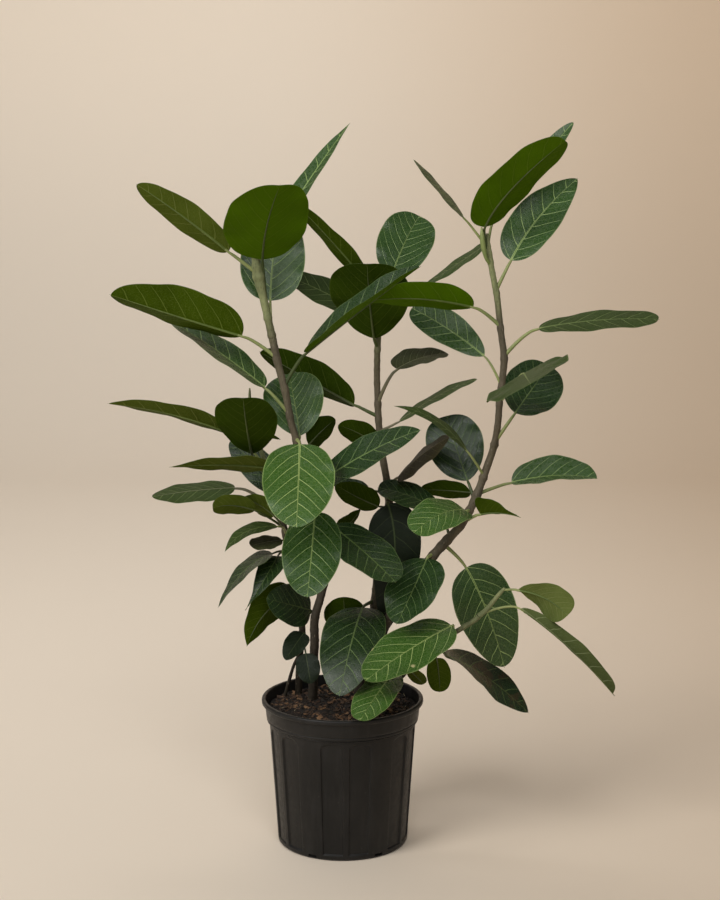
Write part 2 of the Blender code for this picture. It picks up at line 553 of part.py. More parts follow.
def soil():
    """The soil's filled body, low at the wall and a little mounded."""
    angles = [a for a, _, _ in pot_stations()][::2]

    def wall(height):
        for (r1, z1), (r2, z2) in zip(POT_INNER, POT_INNER[1:]):
            if z2 <= height <= z1:
                return r2 + (r1 - r2) * (height - z2) / (z1 - z2) - WALL_GAP
        raise ValueError(height)

    def top(radius, angle):
        turn = math.radians(angle)
        mound = MOUND * (1 - (radius / POT_INNER[1][0]) ** 2)
        return SOIL_EDGE + mound + UNEVEN * math.sin(3 * turn + radius) * math.cos(1.7 * radius)

    rings = []
    for height in (POT_INNER[3][1] + GAP, POT_INNER[2][1], POT_INNER[1][1]):
        rings.append([around(a, wall(height), height) for a in angles])
    for radius in (wall(SOIL_EDGE), 8.5, 4):
        rings.append([around(a, radius, top(radius, a)) for a in angles])
    return ring_mesh("soil", rings, False)


def build():
    for old in list(bpy.data.objects):
        bpy.data.objects.remove(old)
    bark = material("bark_grey_brown", BARK, .8)
    dark = material("leaf_dark_green", GREEN_DARK, .35)
    green = material("leaf_green", GREEN, .4)
    bright = material("leaf_bright_green", GREEN_BRIGHT, .45)
    black = material("pot_black_plastic", BLACK, .4)
    earth = material("soil_dark_brown", EARTH, .95)

    node("pot", [boolean(pot(), notches(), "DIFFERENCE")], black)

    # stems, with bark up to where the green shoot begins
    for stem, start in SHOOT_FROM.items():
        if start:
            node("stem_" + stem, [stem_piece(stem, "stem", high=start)], bark)

    # the soil, with plain holes for the stems
    holes = [stem_piece(stem, "hole", high=STEMS[stem][2][1], more=GAP) for stem in STEMS]
    for hole in holes:
        deepest = min(v.co.z for v in hole.data.vertices)
        for v in hole.data.vertices:
            if v.co.z < deepest + GAP * CM:
                v.co.z -= GAP * CM
    node("soil", [boolean(soil(), holes, "DIFFERENCE")], earth)

    # green shoots: the stem's top with its leaves as one body
    for stem, word in TIPS.items():
        start = SHOOT_FROM[stem]
        pieces = [stem_piece(stem, "shoot", low=start + SHOOT_GAP if start else None)]
        for leaf in LEAVES:
            if leaf[0].startswith(word + "_"):
                pieces += leaf_pieces(leaf)
        for sheath_stem, foot, rows in SHEATHS:
            if sheath_stem == stem:
                path = [place(*stem_row(stem, foot)[:3])] + [place(*row[:3]) for row in rows]
                pieces.append(tube("sheath", path, [rows[0][3]] + [row[3] for row in rows], STALK_SIDES))
        node("shoot_" + word, pieces, green)

    # forks: two leaves from one foot, and all the single leaves
    groups = {}
    for leaf in LEAVES:
        if any(leaf[0].startswith(word + "_") for word in TIPS.values()):
            continue
        word = next((fork for fork in FORKS if leaf[0].startswith(fork)), leaf[0])
        groups.setdefault(word, []).append(leaf)
    for word, leaves in groups.items():
        pieces = [piece for leaf in leaves for piece in leaf_pieces(leaf)]
        stem, foot = leaves[0][1], leaves[0][2]
        high = SHOOT_FROM[stem] if foot < SHOOT_FROM[stem] else None
        seat = stem_piece(stem, "seat", high=high, more=GAP)
        trimmed = boolean(boolean(pieces[0], pieces[1:], "UNION"), [seat], "DIFFERENCE")
        node("leaf_" + word, [trimmed], bright if word in BRIGHT else dark if word in DARK else green)


build()
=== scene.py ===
"""Potted bengal fig: the fine leaves, bark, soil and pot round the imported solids, and their finishes.

Lengths are centimetres until a piece is made, then metres, in the frame of the solids.
The tables of stems and leaves are those of the solids: places as they are seen from EYE against
the upright plane through the pot's middle (across, up, behind).
"""
import math
import random

import bpy
import numpy as np
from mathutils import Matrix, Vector, noise


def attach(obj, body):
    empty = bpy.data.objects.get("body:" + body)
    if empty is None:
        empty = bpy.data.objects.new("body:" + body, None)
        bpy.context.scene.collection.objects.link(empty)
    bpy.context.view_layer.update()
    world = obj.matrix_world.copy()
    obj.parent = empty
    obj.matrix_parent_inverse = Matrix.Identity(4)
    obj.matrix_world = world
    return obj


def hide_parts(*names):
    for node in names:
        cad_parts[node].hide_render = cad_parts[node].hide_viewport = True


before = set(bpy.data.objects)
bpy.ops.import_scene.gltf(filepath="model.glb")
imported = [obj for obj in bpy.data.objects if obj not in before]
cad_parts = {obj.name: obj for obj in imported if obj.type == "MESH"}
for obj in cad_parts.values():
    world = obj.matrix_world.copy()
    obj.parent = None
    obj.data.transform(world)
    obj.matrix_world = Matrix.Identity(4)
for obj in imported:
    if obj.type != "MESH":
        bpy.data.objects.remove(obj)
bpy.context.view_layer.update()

CM = 0.01
EYE = np.array((2.87, -300.0, 117.2))
LENS_MM = 75.84  # on a 36 mm long side
LOOK_DOWN = 9.8

SOIL_LEVEL = 22.8
STEM_DEPTH = 4.0
POT_HEIGHT = 24.3
FLUTES = [(-17.0, 1.0), (5.5, 23.5)]  # start and end in a period, seen from above, front at 0
PERIOD = 60
FLUTE_DEPTH = 0.25
FLUTE_FOOT = 0.9
FLUTE_TOP = 20.1
FLUTE_ARCH = 1.3
RIB_MIDDLE = FLUTES[1][1] + 9.75
WALL_FOOT = (10.72, 0.75)  # where the straight wall begins and ends: radius, height
WALL_TOP = (12.0, 20.35)

BLADE = 0.06  # thickness of a leaf at its middle
WAVE = 0.02
STALK_RADII = (.33, .28, .24, .19)
LEAF_ROWS = 50
LEAF_STRIPS = 32
VEIN_SPACING = 0.145  # of the leaf's length
VEIN_SLOPE = 0.78  # rise along the midrib to the way out, both as parts of the length
VEIN_CURVE = 1.3
VEIN_SHIFT = 0.35  # how far the right side's veins lie from the left side's, in spacings
PUFF = 0.022  # how far the blade swells between its veins

# stems: across, up, behind, radius, from the soil up
STEMS = {
    "left": [
        (-4.9, 24.2, 3.2, .75), (-4.6, 33, 1.2, .72), (-4.5, 37.5, 1, .7), (-3.5, 41.2, 1.2, .66),
        (-2.4, 46, 1.5, .62), (-3, 50.5, 1.5, .6), (-5, 57, 1, .58), (-7.1, 66, .5, .56),
        (-8.2, 70, .3, .56), (-9.1, 75, 0, .58), (-10.35, 80, 0, .6), (-11.4, 85, 0, .6),
        (-12.5, 90, 0, .64), (-13.2, 93.5, 0, .86), (-13.7, 96.3, 0, .6),
    ],
    "back": [
        (-7.2, 25.2, 6.5, .6), (-7, 31, 4.8, .58), (-6.6, 36.5, 4, .55), (-8, 44, 4.5, .5),
        (-8.9, 49, 5, .48), (-9.3, 52.5, 5, .46), (-10.6, 58, 5.5, .44), (-12.6, 64, 6, .4),
        (-14, 69, 6, .36), (-14.7, 73, 6, .3), (-14.75, 75.4, 6, .12),
    ],
    "centre": [
        (2.5, 24.6, 4.8, .75), (4.4, 34, 3.2, .72), (5.4, 41, 3.5, .7), (5.9, 46, 4, .68),
        (7.3, 51.5, 4.5, .66), (7.6, 56, 5, .64), (7.15, 60.5, 5.2, .6), (6.5, 64.5, 5.5, .58),
        (5.85, 70, 5.8, .54), (5.62, 76, 6, .52), (5.6, 81, 6, .5), (5.9, 86, 6, .46),
        (6.4, 90, 6, .42), (6.6, 93, 6, .25),
    ],
    "right": [
        (4.5, 23.9, 1.6, .8), (5.6, 31, -.8, .78), (7.3, 37, -1.5, .76), (10.4, 42, -1.5, .75),
        (13.9, 46.9, -1.5, .74), (17.1, 50.7, -1.2, .72), (19, 52.9, -1, .68),
        (20.6, 55.6, -.9, .64), (21.7, 58, -.7, .62), (23.2, 62.3, -.3, .6), (24.35, 66, 0, .58),
        (25, 70, 0, .54), (25.2, 73.5, 0, .52), (25.6, 77, 0, .54), (25.8, 80.3, 0, .56),
        (25.4, 83.5, 0, .52), (24.95, 87, 0, .5), (24.5, 90.5, 0, .48), (23.75, 94, 0, .46),
        (23.2, 97, 0, .42), (22.95, 100, 0, .22),
    ],
    "low": [
        (6.5, 23.6, .8, .55), (9.5, 27.7, -2.6, .52), (13, 31.4, -4, .48), (16, 33.8, -4.5, .45),
        (18.6, 35.3, -5, .42), (21.4, 37.1, -5.5, .4), (23.6, 39.1, -5.8, .37),
        (25.2, 41.2, -6, .32), (26.4, 42.6, -6.2, .2),
    ],
    "thin": [
        (-9.3, 25, 5.4, .3), (-8.6, 27.6, 4.6, .28), (-7.8, 30, 3.6, .25),
        (-6.7, 32.1, 2.6, .21), (-5.9, 33.4, 2.2, .15),
    ],
}
# where each stem's bark ends and its green shoot begins, as heights
SHOOT_FROM = {"left": 83.5, "back": 55.6, "centre": 81.3, "right": 90.2, "low": 37.9, "thin": 0}
# leaf sheaths on the shoots: stem, height of the foot, places with radii
SHEATHS = [
    ("right", 95, [(22.8, 96.1, -.7, .3), (22.3, 98, -1, .42), (22.1, 99.6, -1.1, .36), (22, 101, -1.1, .1)]),
]

# how far down from its tip a stem is green
GREEN_LENGTH = {"left": 15, "back": 20, "centre": 15, "right": 15, "low": 9, "thin": 2}
SKY = (0, 0, 1)
# blade outlines: powers of the distance from the foot and from the tip
OUTLINES = {
    "oval": (.42, .55), "pointed": (.45, .95), "blunt": (.4, .36), "wedge": (.8, .36),
    "beaked": (.45, 1.5), "lance": (.48, .72), "kite": (.6, .4), "square": (.42, .2),
}
# leaves: name, stem, height of the stalk's foot, blade's foot, middle and tip, where the upper
# face looks (right, to the front, up), width, fold in degrees, outline
LEAVES = [
    ("left_tip_a", "left", 93.6, (-17.9, 97.2, -1), (-25, 102.7, -3), (-32.1, 107.6, -5),
     (0, -.75, .68), 6, 10, "oval"),
    ("left_tip_b", "left", 87, (-12.5, 95.9, -1.3), (-11.8, 101.2, -7.5), (-9.7, 107.5, -13),
     SKY, 13.4, 8, "blunt"),
    ("left_tip_c", "left", 95, (-10.6, 99.8, 2.5), (-4.6, 109, 5.5), (1.2, 117, 8),
     (-.62, .63, .47), 4.4, 15, "pointed"),
    ("left_tip_d", "left", 84.3, (-11.35, 89.4, 1.6), (-10.8, 96.5, 5), (-9.7, 104, 8),
     (0, 1, .4), 10.4, 5, "oval"),
    ("left_long", "left", 80.3, (-15.9, 83.8, -.8), (-26, 86.9, -3), (-36.6, 90.3, -5),
     (0, -.7, .7), 10.4, 27, "oval"),
    ("left_grey", "left", 71.2, (-12.4, 75.6, .3), (-19.6, 81.2, 2.5), (-27.4, 86.3, 5),
     (.45, .35, .82), 7.2, 13, "oval"),
    ("centre_dark", "centre", 70.8, (1.9, 72.8, 6.5), (-5.2, 76.8, 9), (-13, 81.2, 9),
     (0, -.78, .62), 7.4, 25, "oval"),
    ("left_upright", "left", 66.6, (-6.8, 67.7, 1.4), (-7.6, 73.2, 3), (-8.5, 77.7, 3.8),
     (0, 1, .2), 9.8, 4, "kite"),
    ("left_drooping_upper", "left", 67.2, (-6.8, 66.3, -1.6), (-7.05, 59.8, -8.5), (-7.4, 52.7, -14),
     SKY, 11.5, 4, "oval"),
    ("left_drooping_lower", "left", 57.5, (-4.4, 55.2, -1.5), (-5, 48, -7.5), (-5.7, 41.1, -12.5),
     SKY, 9.5, 4, "oval"),
    ("left_band", "left", 75.6, (-5.6, 81.2, -1.5), (3.4, 88.2, -7.5), (12.3, 94.7, -10),
     (-.59, .21, .78), 7, 32, "oval"),
    ("left_inner", "left", 60.5, (-3.8, 60, -1), (4.6, 65.2, -3.5), (12.5, 68.6, -5),
     (-.2, .55, .8), 7.4, 5, "lance"),
    ("left_glossy", "left", 53.5, (-1.6, 52.9, -1), (4, 48.2, -6), (8.6, 43.6, -12),
     (0, .3, 1), 9, 5, "oval"),
    ("left_small", "left", 65.5, (-5.4, 66.3, 2.6), (-3.4, 68.4, 4), (-1.1, 70.4, 5),
     (-.3, -.8, .5), 5.5, 8, "oval"),
    ("left_behind", "left", 49, (-1.3, 50.4, 3), (0.8, 52.9, 4.5), (3, 55.7, 6),
     (-.4, -.7, .6), 5.4, 8, "pointed"),
    ("back_tip_a", "back", 60, (-14.5, 64.8, 2), (-15.3, 69.2, -3), (-15.8, 73.8, -8),
     SKY, 10, 8, "kite"),
    ("back_tip_b", "back", 62, (-17.6, 67.9, 3.5), (-27, 71.1, 1), (-37.3, 72.9, -1),
     (0, -.52, .85), 5.8, 16, "lance"),
    ("back_tip_c", "back", 57.5, (-11.5, 62.5, 2), (-19, 63, 0), (-27.6, 62.6, -2),
     (0, -.52, .85), 7, 4, "pointed"),
    ("back_tip_d", "back", 56.5, (-10.4, 58.6, 5.5), (-13.9, 63, 8.5), (-18, 66.7, 10.5),
     (0, .8, .5), 5.6, 5, "oval"),
    ("back_tip_e", "back", 68, (-14.2, 68.5, 7.5), (-12, 67.7, 7.5), (-9.9, 67.1, 8),
     (0, -.6, .8), 2.2, 10, "pointed"),
    ("back_grey", "back", 54.5, (-17.3, 59.2, 3.8), (-24, 58.7, 3), (-30.6, 57.7, 1),
     (0, .3, 1), 7, -5, "oval"),
    ("back_fork_a", "back", 52.5, (-14.1, 55.5, 1.5), (-17.6, 56.3, 0), (-20.9, 55.9, -1.5),
     (0, -1, .4), 4, 10, "blunt"),
    ("back_fork_b", "back", 52.3, (-11, 54.6, 2.5), (-13, 56.2, 2.5), (-15.9, 57.6, 1.5),
     (.2, -.8, .5), 4.5, 10, "oval"),
    ("back_curved", "back", 51.7, (-10.6, 52.9, .5), (-15.6, 51.9, -1.5), (-19, 48.7, -3),
     (0, .17, .98), 4.3, 5, "pointed"),
    ("back_short", "back", 50.5, (-9.8, 50.6, 1), (-12.4, 50.2, 0), (-14.8, 49.6, -1),
     (0, .3, 1), 4.6, 0, "blunt"),
    ("back_sickle_a", "back", 48.7, (-11.4, 48.4, 0), (-16.1, 45.3, -1.5), (-20.2, 39.4, -3),
     (-.71, .32, .68), 5.5, 5, "pointed"),
    ("back_sickle_b", "back", 48.3, (-10.5, 47.9, .5), (-12.6, 44.1, -2), (-15.8, 38.9, -3.5),
     (-.3, .5, .6), 5, 10, "beaked"),
    ("back_lower", "back", 43, (-8.3, 41.6, 2), (-12.6, 38.4, 0), (-15.6, 32.9, -2),
     (-.4, -.8, .5), 8.4, 10, "pointed"),
    ("back_round", "back", 37.5, (-5.2, 38.9, 2.6), (-8.4, 39.8, -.2), (-12.3, 40.8, -3),
     (0, 1, .5), 7, 5, "oval"),
    ("thin_a", "thin", 33.2, (-6.3, 35, 2.5), (-7.6, 33.2, 1), (-9.3, 30.5, -1),
     (0, .5, .8), 4, 10, "oval"),
    ("thin_b", "thin", 32.8, (-6, 31.6, -.2), (-5.6, 29, -1.6), (-5.2, 26.5, -2.4),
     (0, .6, .8), 4, 5, "oval"),
    ("centre_tip_a", "centre", 91.5, (8, 93.7, 6.8), (10, 98.7, 10.5), (12.2, 102.7, 14),
     (0, 1, .5), 9, 5, "blunt"),
    ("centre_tip_b", "centre", 82, (5.1, 83.4, 4.6), (4.4, 89.4, 1), (4, 95.2, -2.5), SKY, 13, 8, "kite"),
    ("centre_tip_c", "centre", 90, (4.5, 91.6, 4.5), (-.9, 98.1, 3), (-7.5, 104.9, 0),
     (.6, -.51, .6), 6, 5, "oval"),
    ("centre_tip_d", "centre", 86, (3.5, 87.2, 7.5), (-3, 90.8, 8.5), (-9, 93.3, 9),
     (0, .5, .87), 7, 5, "oval"),
    ("centre_grey", "centre", 73, (8.8, 78.5, 5), (12.4, 80.2, 8), (16.7, 81, 11),
     (-.35, .45, .8), 7, 10, "oval"),
    ("centre_narrow", "centre", 68.5, (9.2, 70.1, 4.5), (15.4, 74.2, 3.5), (21.5, 76.8, 2),
     (-.49, .14, .88), 5, 0, "oval"),
    ("centre_side", "centre", 59.5, (9, 61, 3.8), (12.8, 64.6, .3), (17.2, 67.5, -2.5),
     (-.55, .3, .8), 6.5, -10, "oval"),
    ("centre_inner", "centre", 66, (5.2, 66.5, 4.3), (2.5, 68.2, 3), (-.6, 69.4, 2),
     (0, -1, .5), 4.6, 8, "oval"),
    ("centre_pair_a", "centre", 56, (5.9, 56.2, 3.6), (2.5, 57.7, 3.2), (-1, 59.7, 2.5),
     (0, -.8, .6), 5.6, 8, "oval"),
    ("centre_pair_b", "centre", 58.3, (4.2, 58.9, 6), (1.2, 59.6, 6.5), (-2, 60.3, 7),
     (0, .6, .8), 3, 5, "oval"),
    ("right_shaded", "centre", 56.6, (7.4, 56.5, 3.3), (8.5, 46.9, 1.6), (6.3, 33.9, 0.6),
     (0, 1, .3), 8.6, 4, "pointed"),
    ("centre_low", "centre", 33.5, (.8, 35.5, 3), (.4, 38.5, 2.2), (.2, 41.1, 1.8),
     (0, -1, .3), 7, 5, "oval"),
    ("centre_hanging", "centre", 40.5, (3.3, 39.3, .8), (1.5, 33.5, -6), (-.5, 24.4, -11.5),
     SKY, 10.4, 4, "oval"),
    ("right_inward", "right", 85.3, (20.8, 88.4, -1.2), (12.3, 89.7, -3.5), (3.6, 89.3, -5),
     (0, -.75, .66), 6.4, 20, "lance"),
    ("right_glossy", "right", 75.7, (22.6, 80.6, 1), (17, 84.8, 4.5), (11.1, 88.2, 8),
     (-.2, .75, .6), 5.9, 5, "kite"),
    ("right_narrow", "right", 61.2, (19.9, 65.5, -2.5), (14.6, 70.4, -3.5), (8.4, 72.5, -4.5),
     (.63, .28, .76), 3.6, 0, "pointed"),
    ("right_upright", "right", 57.2, (20.2, 60.4, .8), (18.4, 65.5, 3.5), (16.7, 70.9, 6.5),
     (0, 1, .4), 9.3, 5, "kite"),
    ("right_across", "right", 51, (15.2, 55.7, .8), (10.8, 57.9, 1.2), (5.8, 59.2, 1.8),
     (0, .5, .8), 5.6, 5, "blunt"),
    ("right_short", "right", 58.8, (20.6, 58.5, 1.5), (16.8, 58.8, 3.2), (12.6, 58.9, 4.5),
     (0, -.8, .5), 4.2, 8, "oval"),
    ("right_bright", "right", 55.6, (20, 55.4, -2.2), (16.2, 55, -6), (11.6, 51.8, -9),
     (0, .5, 1), 8, 5, "blunt"),
    ("right_hooked", "right", 53.3, (22.3, 54.9, -1.5), (25.5, 55.1, -4), (28.8, 54.3, -7),
     (0, -.67, .74), 7, 24, "beaked"),
    ("right_out", "right", 58.2, (27.3, 60.1, .5), (34.5, 61.2, -2), (41, 60.7, -6),
     (0, .5, .87), 7.6, 25, "lance"),
    ("right_hanging", "right", 48.3, (13.7, 47.5, -2.8), (11.5, 42.3, -6.5), (8.9, 36.6, -10),
     SKY, 9.8, 4, "oval"),
    ("right_big", "right", 49.9, (20.1, 46, -.5), (23.5, 38.8, -.5), (26.5, 29.4, 0),
     (.1, 1, .3), 10, 5, "oval"),
    ("right_tip_a", "right", 97.5, (19.1, 102.6, -1), (15.5, 106.7, -2), (11.3, 111.4, -3),
     (.7, .3, .63), 3.4, 0, "oval"),
    ("right_tip_b", "right", 97, (22.5, 101, -.9), (26.6, 106.9, -4.5), (34.9, 114.4, -8),
     (-.3, -.6, .7), 9.6, 12, "blunt"),
    ("right_tip_c", "right", 98.5, (25, 104.5, 3), (30.9, 111.2, 4.5), (36.1, 117.2, 6),
     (-.4, .8, .4), 3.4, 15, "oval"),
    ("right_tip_d", "right", 91, (26.7, 95.8, .8), (31, 102.5, 4), (36.9, 108.5, 7.5),
     (-.3, .85, .4), 8, 8, "lance"),
    ("right_tip_e", "right", 96, (22.8, 98.3, 2.1), (18.6, 95.4, 4), (12.9, 91.6, 6),
     (-.53, .27, .84), 4.6, 0, "oval"),
    ("right_long", "right", 80.5, (31.3, 85, -.8), (41, 86.3, -2.5), (50.2, 86.4, -5),
     (0, .35, 1), 7.2, 0, "blunt"),
    ("right_round", "right", 66.6, (27.7, 71.4, 1), (29.9, 74.6, 5.5), (33, 79, 11),
     (0, 1, .5), 9.4, 5, "kite"),
    ("right_near", "right", 73.2, (29, 77.8, -3), (29.5, 77, -10), (30.1, 76.1, -18),
     (-.47, .3, .83), 14.4, 0, "blunt"),
    ("low_front", "low", 27, (8.2, 28.2, -5.5), (5.8, 24.8, -11), (2.9, 20.2, -15.5),
     SKY, 6.9, 4, "blunt"),
    ("low_broad", "low", 34.6, (17.8, 36.3, -6.5), (10.6, 32, -10.5), (3.8, 27, -15),
     (0, .3, 1), 10.6, 4, "oval"),
    ("low_tip_a", "low", 42.3, (28.6, 42.3, -6.5), (33, 40.9, -8), (36.7, 38, -9.5),
     (-.2, -.8, .5), 6.6, 5, "wedge"),
    ("low_tip_b", "low", 38.4, (29.1, 39.1, -6.5), (36.9, 32.7, -9), (44.4, 24.7, -8),
     (.61, .37, .77), 4.8, 28, "square"),
    ("low_brown", "low", 33.9, (17.3, 31.1, -1), (23.6, 27.6, 3.5), (30.5, 21.6, 5),
     (-.2, .45, .8), 7.6, 5, "lance"),
    ("low_small_a", "low", 31, (15.4, 30.8, -2.5), (15.8, 28, 0), (16, 25.1, 2),
     (0, -1, .3), 4, 5, "blunt"),
    ("low_small_b", "low", 29.5, (11, 28.8, -2), (12.2, 27.6, 0), (13.3, 26.4, 2),
     (0, -1, .3), 2.4, 5, "blunt"),
]

# leaf looks by name, as lit and shaded copies of one green: black, deep and dark paint shade on leaves in the shade
# of the plant, bright paints light on lit and backlit faces, and grey, pale and matte paint the sheen of light
# grazing a face
LOOK = ("mid", "mid", "mid")  # upper face, underside, stalk and midrib
LOOKS = {
    "left_tip_a": ("mid", "olive", "mid"), "left_tip_b": ("mid", "bright", "dark"),
    "left_tip_c": ("mid", "mid", "mid"), "left_grey": ("mid", "dark", "mid"),
    "left_band": ("dark", "bright", "dark"), "left_small": ("deep", "dark", "dark"),
    "left_behind": ("dark", "dark", "dark"), "left_drooping_upper": ("bright", "mid", "mid"),
    "left_inner": ("dark", "mid", "mid"), "left_glossy": ("dark", "mid", "mid"),
    "back_tip_a": ("dark", "dark", "dark"), "back_tip_d": ("deep", "dark", "dark"),
    "back_lower": ("dark", "mid", "dark"), "back_round": ("deep", "mid", "dark"),
    "back_grey": ("matte", "grey", "grey"), "thin_a": ("black", "black", "dark"),
    "thin_b": ("black", "black", "dark"), "centre_tip_a": ("mid", "mid", "mid"),
    "centre_grey": ("grey", "brown", "grey"), "centre_narrow": ("matte", "grey", "grey"),
    "centre_side": ("brown", "brown", "grey"), "centre_dark": ("dark", "dark", "dark"),
    "centre_inner": ("black", "dark", "dark"), "centre_pair_a": ("deep", "dark", "dark"),
    "centre_pair_b": ("deep", "dark", "dark"), "centre_low": ("black", "dark", "dark"),
    "centre_hanging": ("deep", "dark", "dark"), "right_shaded": ("black", "black", "dark"),
    "right_across": ("deep", "dark", "dark"), "right_short": ("dark", "dark", "dark"),
    "right_upright": ("deep", "dark", "dark"), "right_hooked": ("mid", "mid", "mid"),
    "right_bright": ("bright", "bright", "mid"), "right_near": ("matte", "mid", "mid"), "low_front": ("bright", "mid", "mid"),
    "right_tip_b": ("mid", "bright", "dark"), "right_tip_e": ("matte", "grey", "grey"),
    "low_broad": ("bright", "bright", "mid"), "low_brown": ("deep", "dark", "dark"),
    "low_tip_a": ("mid", "pale", "mid"), "low_tip_b": ("pale", "pale", "mid"), "low_small_a": ("deep", "mid", "dark"),
    "low_small_b": ("mid", "olive", "dark"),
    "back_tip_c": ("mid", "olive", "mid"),
    "back_tip_b": ("mid", "olive", "mid"),
    "back_fork_a": ("dark", "olive", "dark"),
    "back_fork_b": ("dark", "olive", "dark"),
    "back_short": ("grey", "olive", "grey"),
    "back_sickle_a": ("deep", "dark", "dark"),
    "back_sickle_b": ("deep", "dark", "dark"),
    "centre_tip_b": ("mid", "dark", "dark"),
    "right_inward": ("mid", "bright", "mid"),
    "right_narrow": ("matte", "mid", "mid"),
    "right_hanging": ("dark", "mid", "mid"),
    "right_long": ("matte", "mid", "mid"),
    "right_round": ("dark", "mid", "mid"),
    "back_curved": ("matte", "mid", "mid"),
    "centre_tip_d": ("matte", "mid", "mid"),
}
MARKED = {"low_broad": "bitten", "low_brown": "streaked"}


# Leaf and stem shapes, as in the solids

def place(across, up, behind):
    """The true place of what is seen from EYE at (across, up) on the plane, this far behind it."""
    start = np.array((across, 0.0, up))
    return EYE + (start - EYE) * ((300 + behind) / 300)


def unit(v):
    return v / np.linalg.norm(v, axis=-1, keepdims=True)


def smooth(x):
    """0 below 0, 1 above 1, and an even slope between."""
    x = np.clip(x, 0, 1)
    return x * x * (3 - 2 * x)


def outline(t, kind):
    a, b = OUTLINES[kind]
    widest = a / (a + b)
    return t ** a * (1 - t) ** b / (widest ** a * (1 - widest) ** b)


def stem_row(stem, height):
    """The stem's row at this height as seen, between the rows of the table."""
    rows = STEMS[stem]
    for a, b in zip(rows, rows[1:]):
        if a[1] <= height <= b[1]:
            part = (height - a[1]) / (b[1] - a[1])
            return tuple(x + (y - x) * part for x, y in zip(a, b))
    raise ValueError(stem)


def leaf_frame(leaf, t):
    """Places, directions, upper faces and sides of the midrib at each t."""
    p0, p1, p2 = (place(*leaf[i]) for i in (3, 4, 5))
    control = 2 * p1 - (p0 + p2) / 2
    t = np.asarray(t, float)[:, None]
    at = (1 - t) ** 2 * p0 + 2 * t * (1 - t) * control + t * t * p2
    way = unit(2 * (1 - t) * (control - p0) + 2 * t * (p2 - control))
    face = unit(np.array((leaf[6][0], -leaf[6][1], leaf[6][2]), float))
    normal = unit(face - (way @ face)[:, None] * way)
    return at, way, normal, np.cross(way, normal)


class Growth:
    """The skins of one piece: their points, faces, finishes and leaf coordinates."""

    def __init__(self):
        self.points, self.faces, self.finish, self.marks, self.count = [], [], [], [], 0

    def skin(self, grid, finish, mark=None, wrap=False, flip=False):
        """A grid of points (rows, columns, 3), closed round its columns where wrap is set."""
        rows, columns = grid.shape[:2]
        index = self.count + np.arange(rows * columns).reshape(rows, columns)
        if wrap:
            index = np.concatenate([index, index[:, :1]], axis=1)
        quads = np.stack([index[:-1, :-1], index[:-1, 1:], index[1:, 1:], index[1:, :-1]], axis=-1)
        quads = quads.reshape(-1, 4)
        self.add(grid.reshape(-1, 3), quads[:, ::-1] if flip else quads, finish, mark)
        return index

    def add(self, points, faces, finish, mark=None):
        self.points.append(points)
        self.faces += [tuple(int(v) for v in f) for f in faces]
        self.finish += [finish] * len(faces)
        blank = np.zeros((len(points), 4))
        self.marks.append(blank if mark is None else mark.reshape(-1, 4))
        self.count += len(points)

    def cap(self, ring, finish, flip=False):
        """Closes a ring of points that are there already."""
        ring = [int(v) for v in ring]
        self.faces.append(tuple(ring[::-1] if flip else ring))
        self.finish.append(finish)

    def piece(self, name, finishes, replaced):
        mesh = bpy.data.meshes.new(name)
        points = np.concatenate(self.points) * CM
        mesh.from_pydata(points, [], self.faces)
        for finish in finishes:
            mesh.materials.append(finish)
        mesh.polygons.foreach_set("material_index", self.finish)
        mesh.polygons.foreach_set("use_smooth", [True] * len(self.faces))
        marks = np.concatenate(self.marks).astype(np.float32)
        where = mesh.attributes.new("leaf_place", "FLOAT_VECTOR", "POINT")
        where.data.foreach_set("vector", np.ascontiguousarray(marks[:, :3]).ravel())
        tone = mesh.attributes.new("leaf_tone", "FLOAT", "POINT")
        tone.data.foreach_set("value", np.ascontiguousarray(marks[:, 3]))
        mesh.update()
        mesh.set_sharp_from_angle(angle=math.radians(55))
        made = bpy.data.objects.new(name, mesh)
        bpy.context.scene.collection.objects.link(made)
        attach(made, "root")
        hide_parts(replaced)
        return made


def rings(path, radii, sides, turn=0.0):
    """Rings of points round a path, as a grid."""
    way = unit(np.gradient(path, axis=0))
    up = np.array((0.0, 0.0, 1.0)) if abs(way[0, 2]) < .9 else np.array((1.0, 0.0, 0.0))
    angles = np.arange(sides) * 2 * math.pi / sides + turn
    found = []
    for p, w, r in zip(path, way, radii):
        up = unit(up - (up @ w) * w)
        across = np.cross(w, up)
        round_ = np.cos(angles)[:, None] * up + np.sin(angles)[:, None] * across
        found.append(p + round_ * np.asarray(r).reshape(-1, 1))
    return np.array(found)


def add_tube(growth, path, radii, sides, finish):
    """A closed tube."""
    index = growth.skin(rings(np.asarray(path), radii, sides), finish, wrap=True)
    growth.cap(index[0, :-1], finish, flip=True)
    growth.cap(index[-1, :-1], finish)


def flowing(rows, step):
    """Points about a step apart on a smooth curve through the rows of any length."""
    rows = np.asarray(rows, float)
    padded = np.concatenate([2 * rows[:1] - rows[1:2], rows, 2 * rows[-1:] - rows[-2:-1]])
    found = []
    for i in range(1, len(padded) - 2):
        a, b, c, d = padded[i - 1:i + 3]
        count = max(2, int(np.linalg.norm((c - b)[:3]) / step))
        for k in range(count):
            t = k / count
            found.append(.5 * (2 * b + (c - a) * t + (2 * a - 5 * b + 4 * c - d) * t ** 2
                               + (3 * b - a - 3 * c + d) * t ** 3))
    found.append(padded[-2])
    return np.array(found)


UPPER, UNDER, STALK, RIB = range(4)
SIDES = 10


def vein_course(x, t):
    """Counts along the blade: whole numbers lie on a side vein."""
    side = np.where(x > 0, VEIN_SHIFT * smooth(t / .2), 0)
    return (t - VEIN_SLOPE * np.abs(x) - VEIN_CURVE * np.abs(x) ** 2) / VEIN_SPACING + side


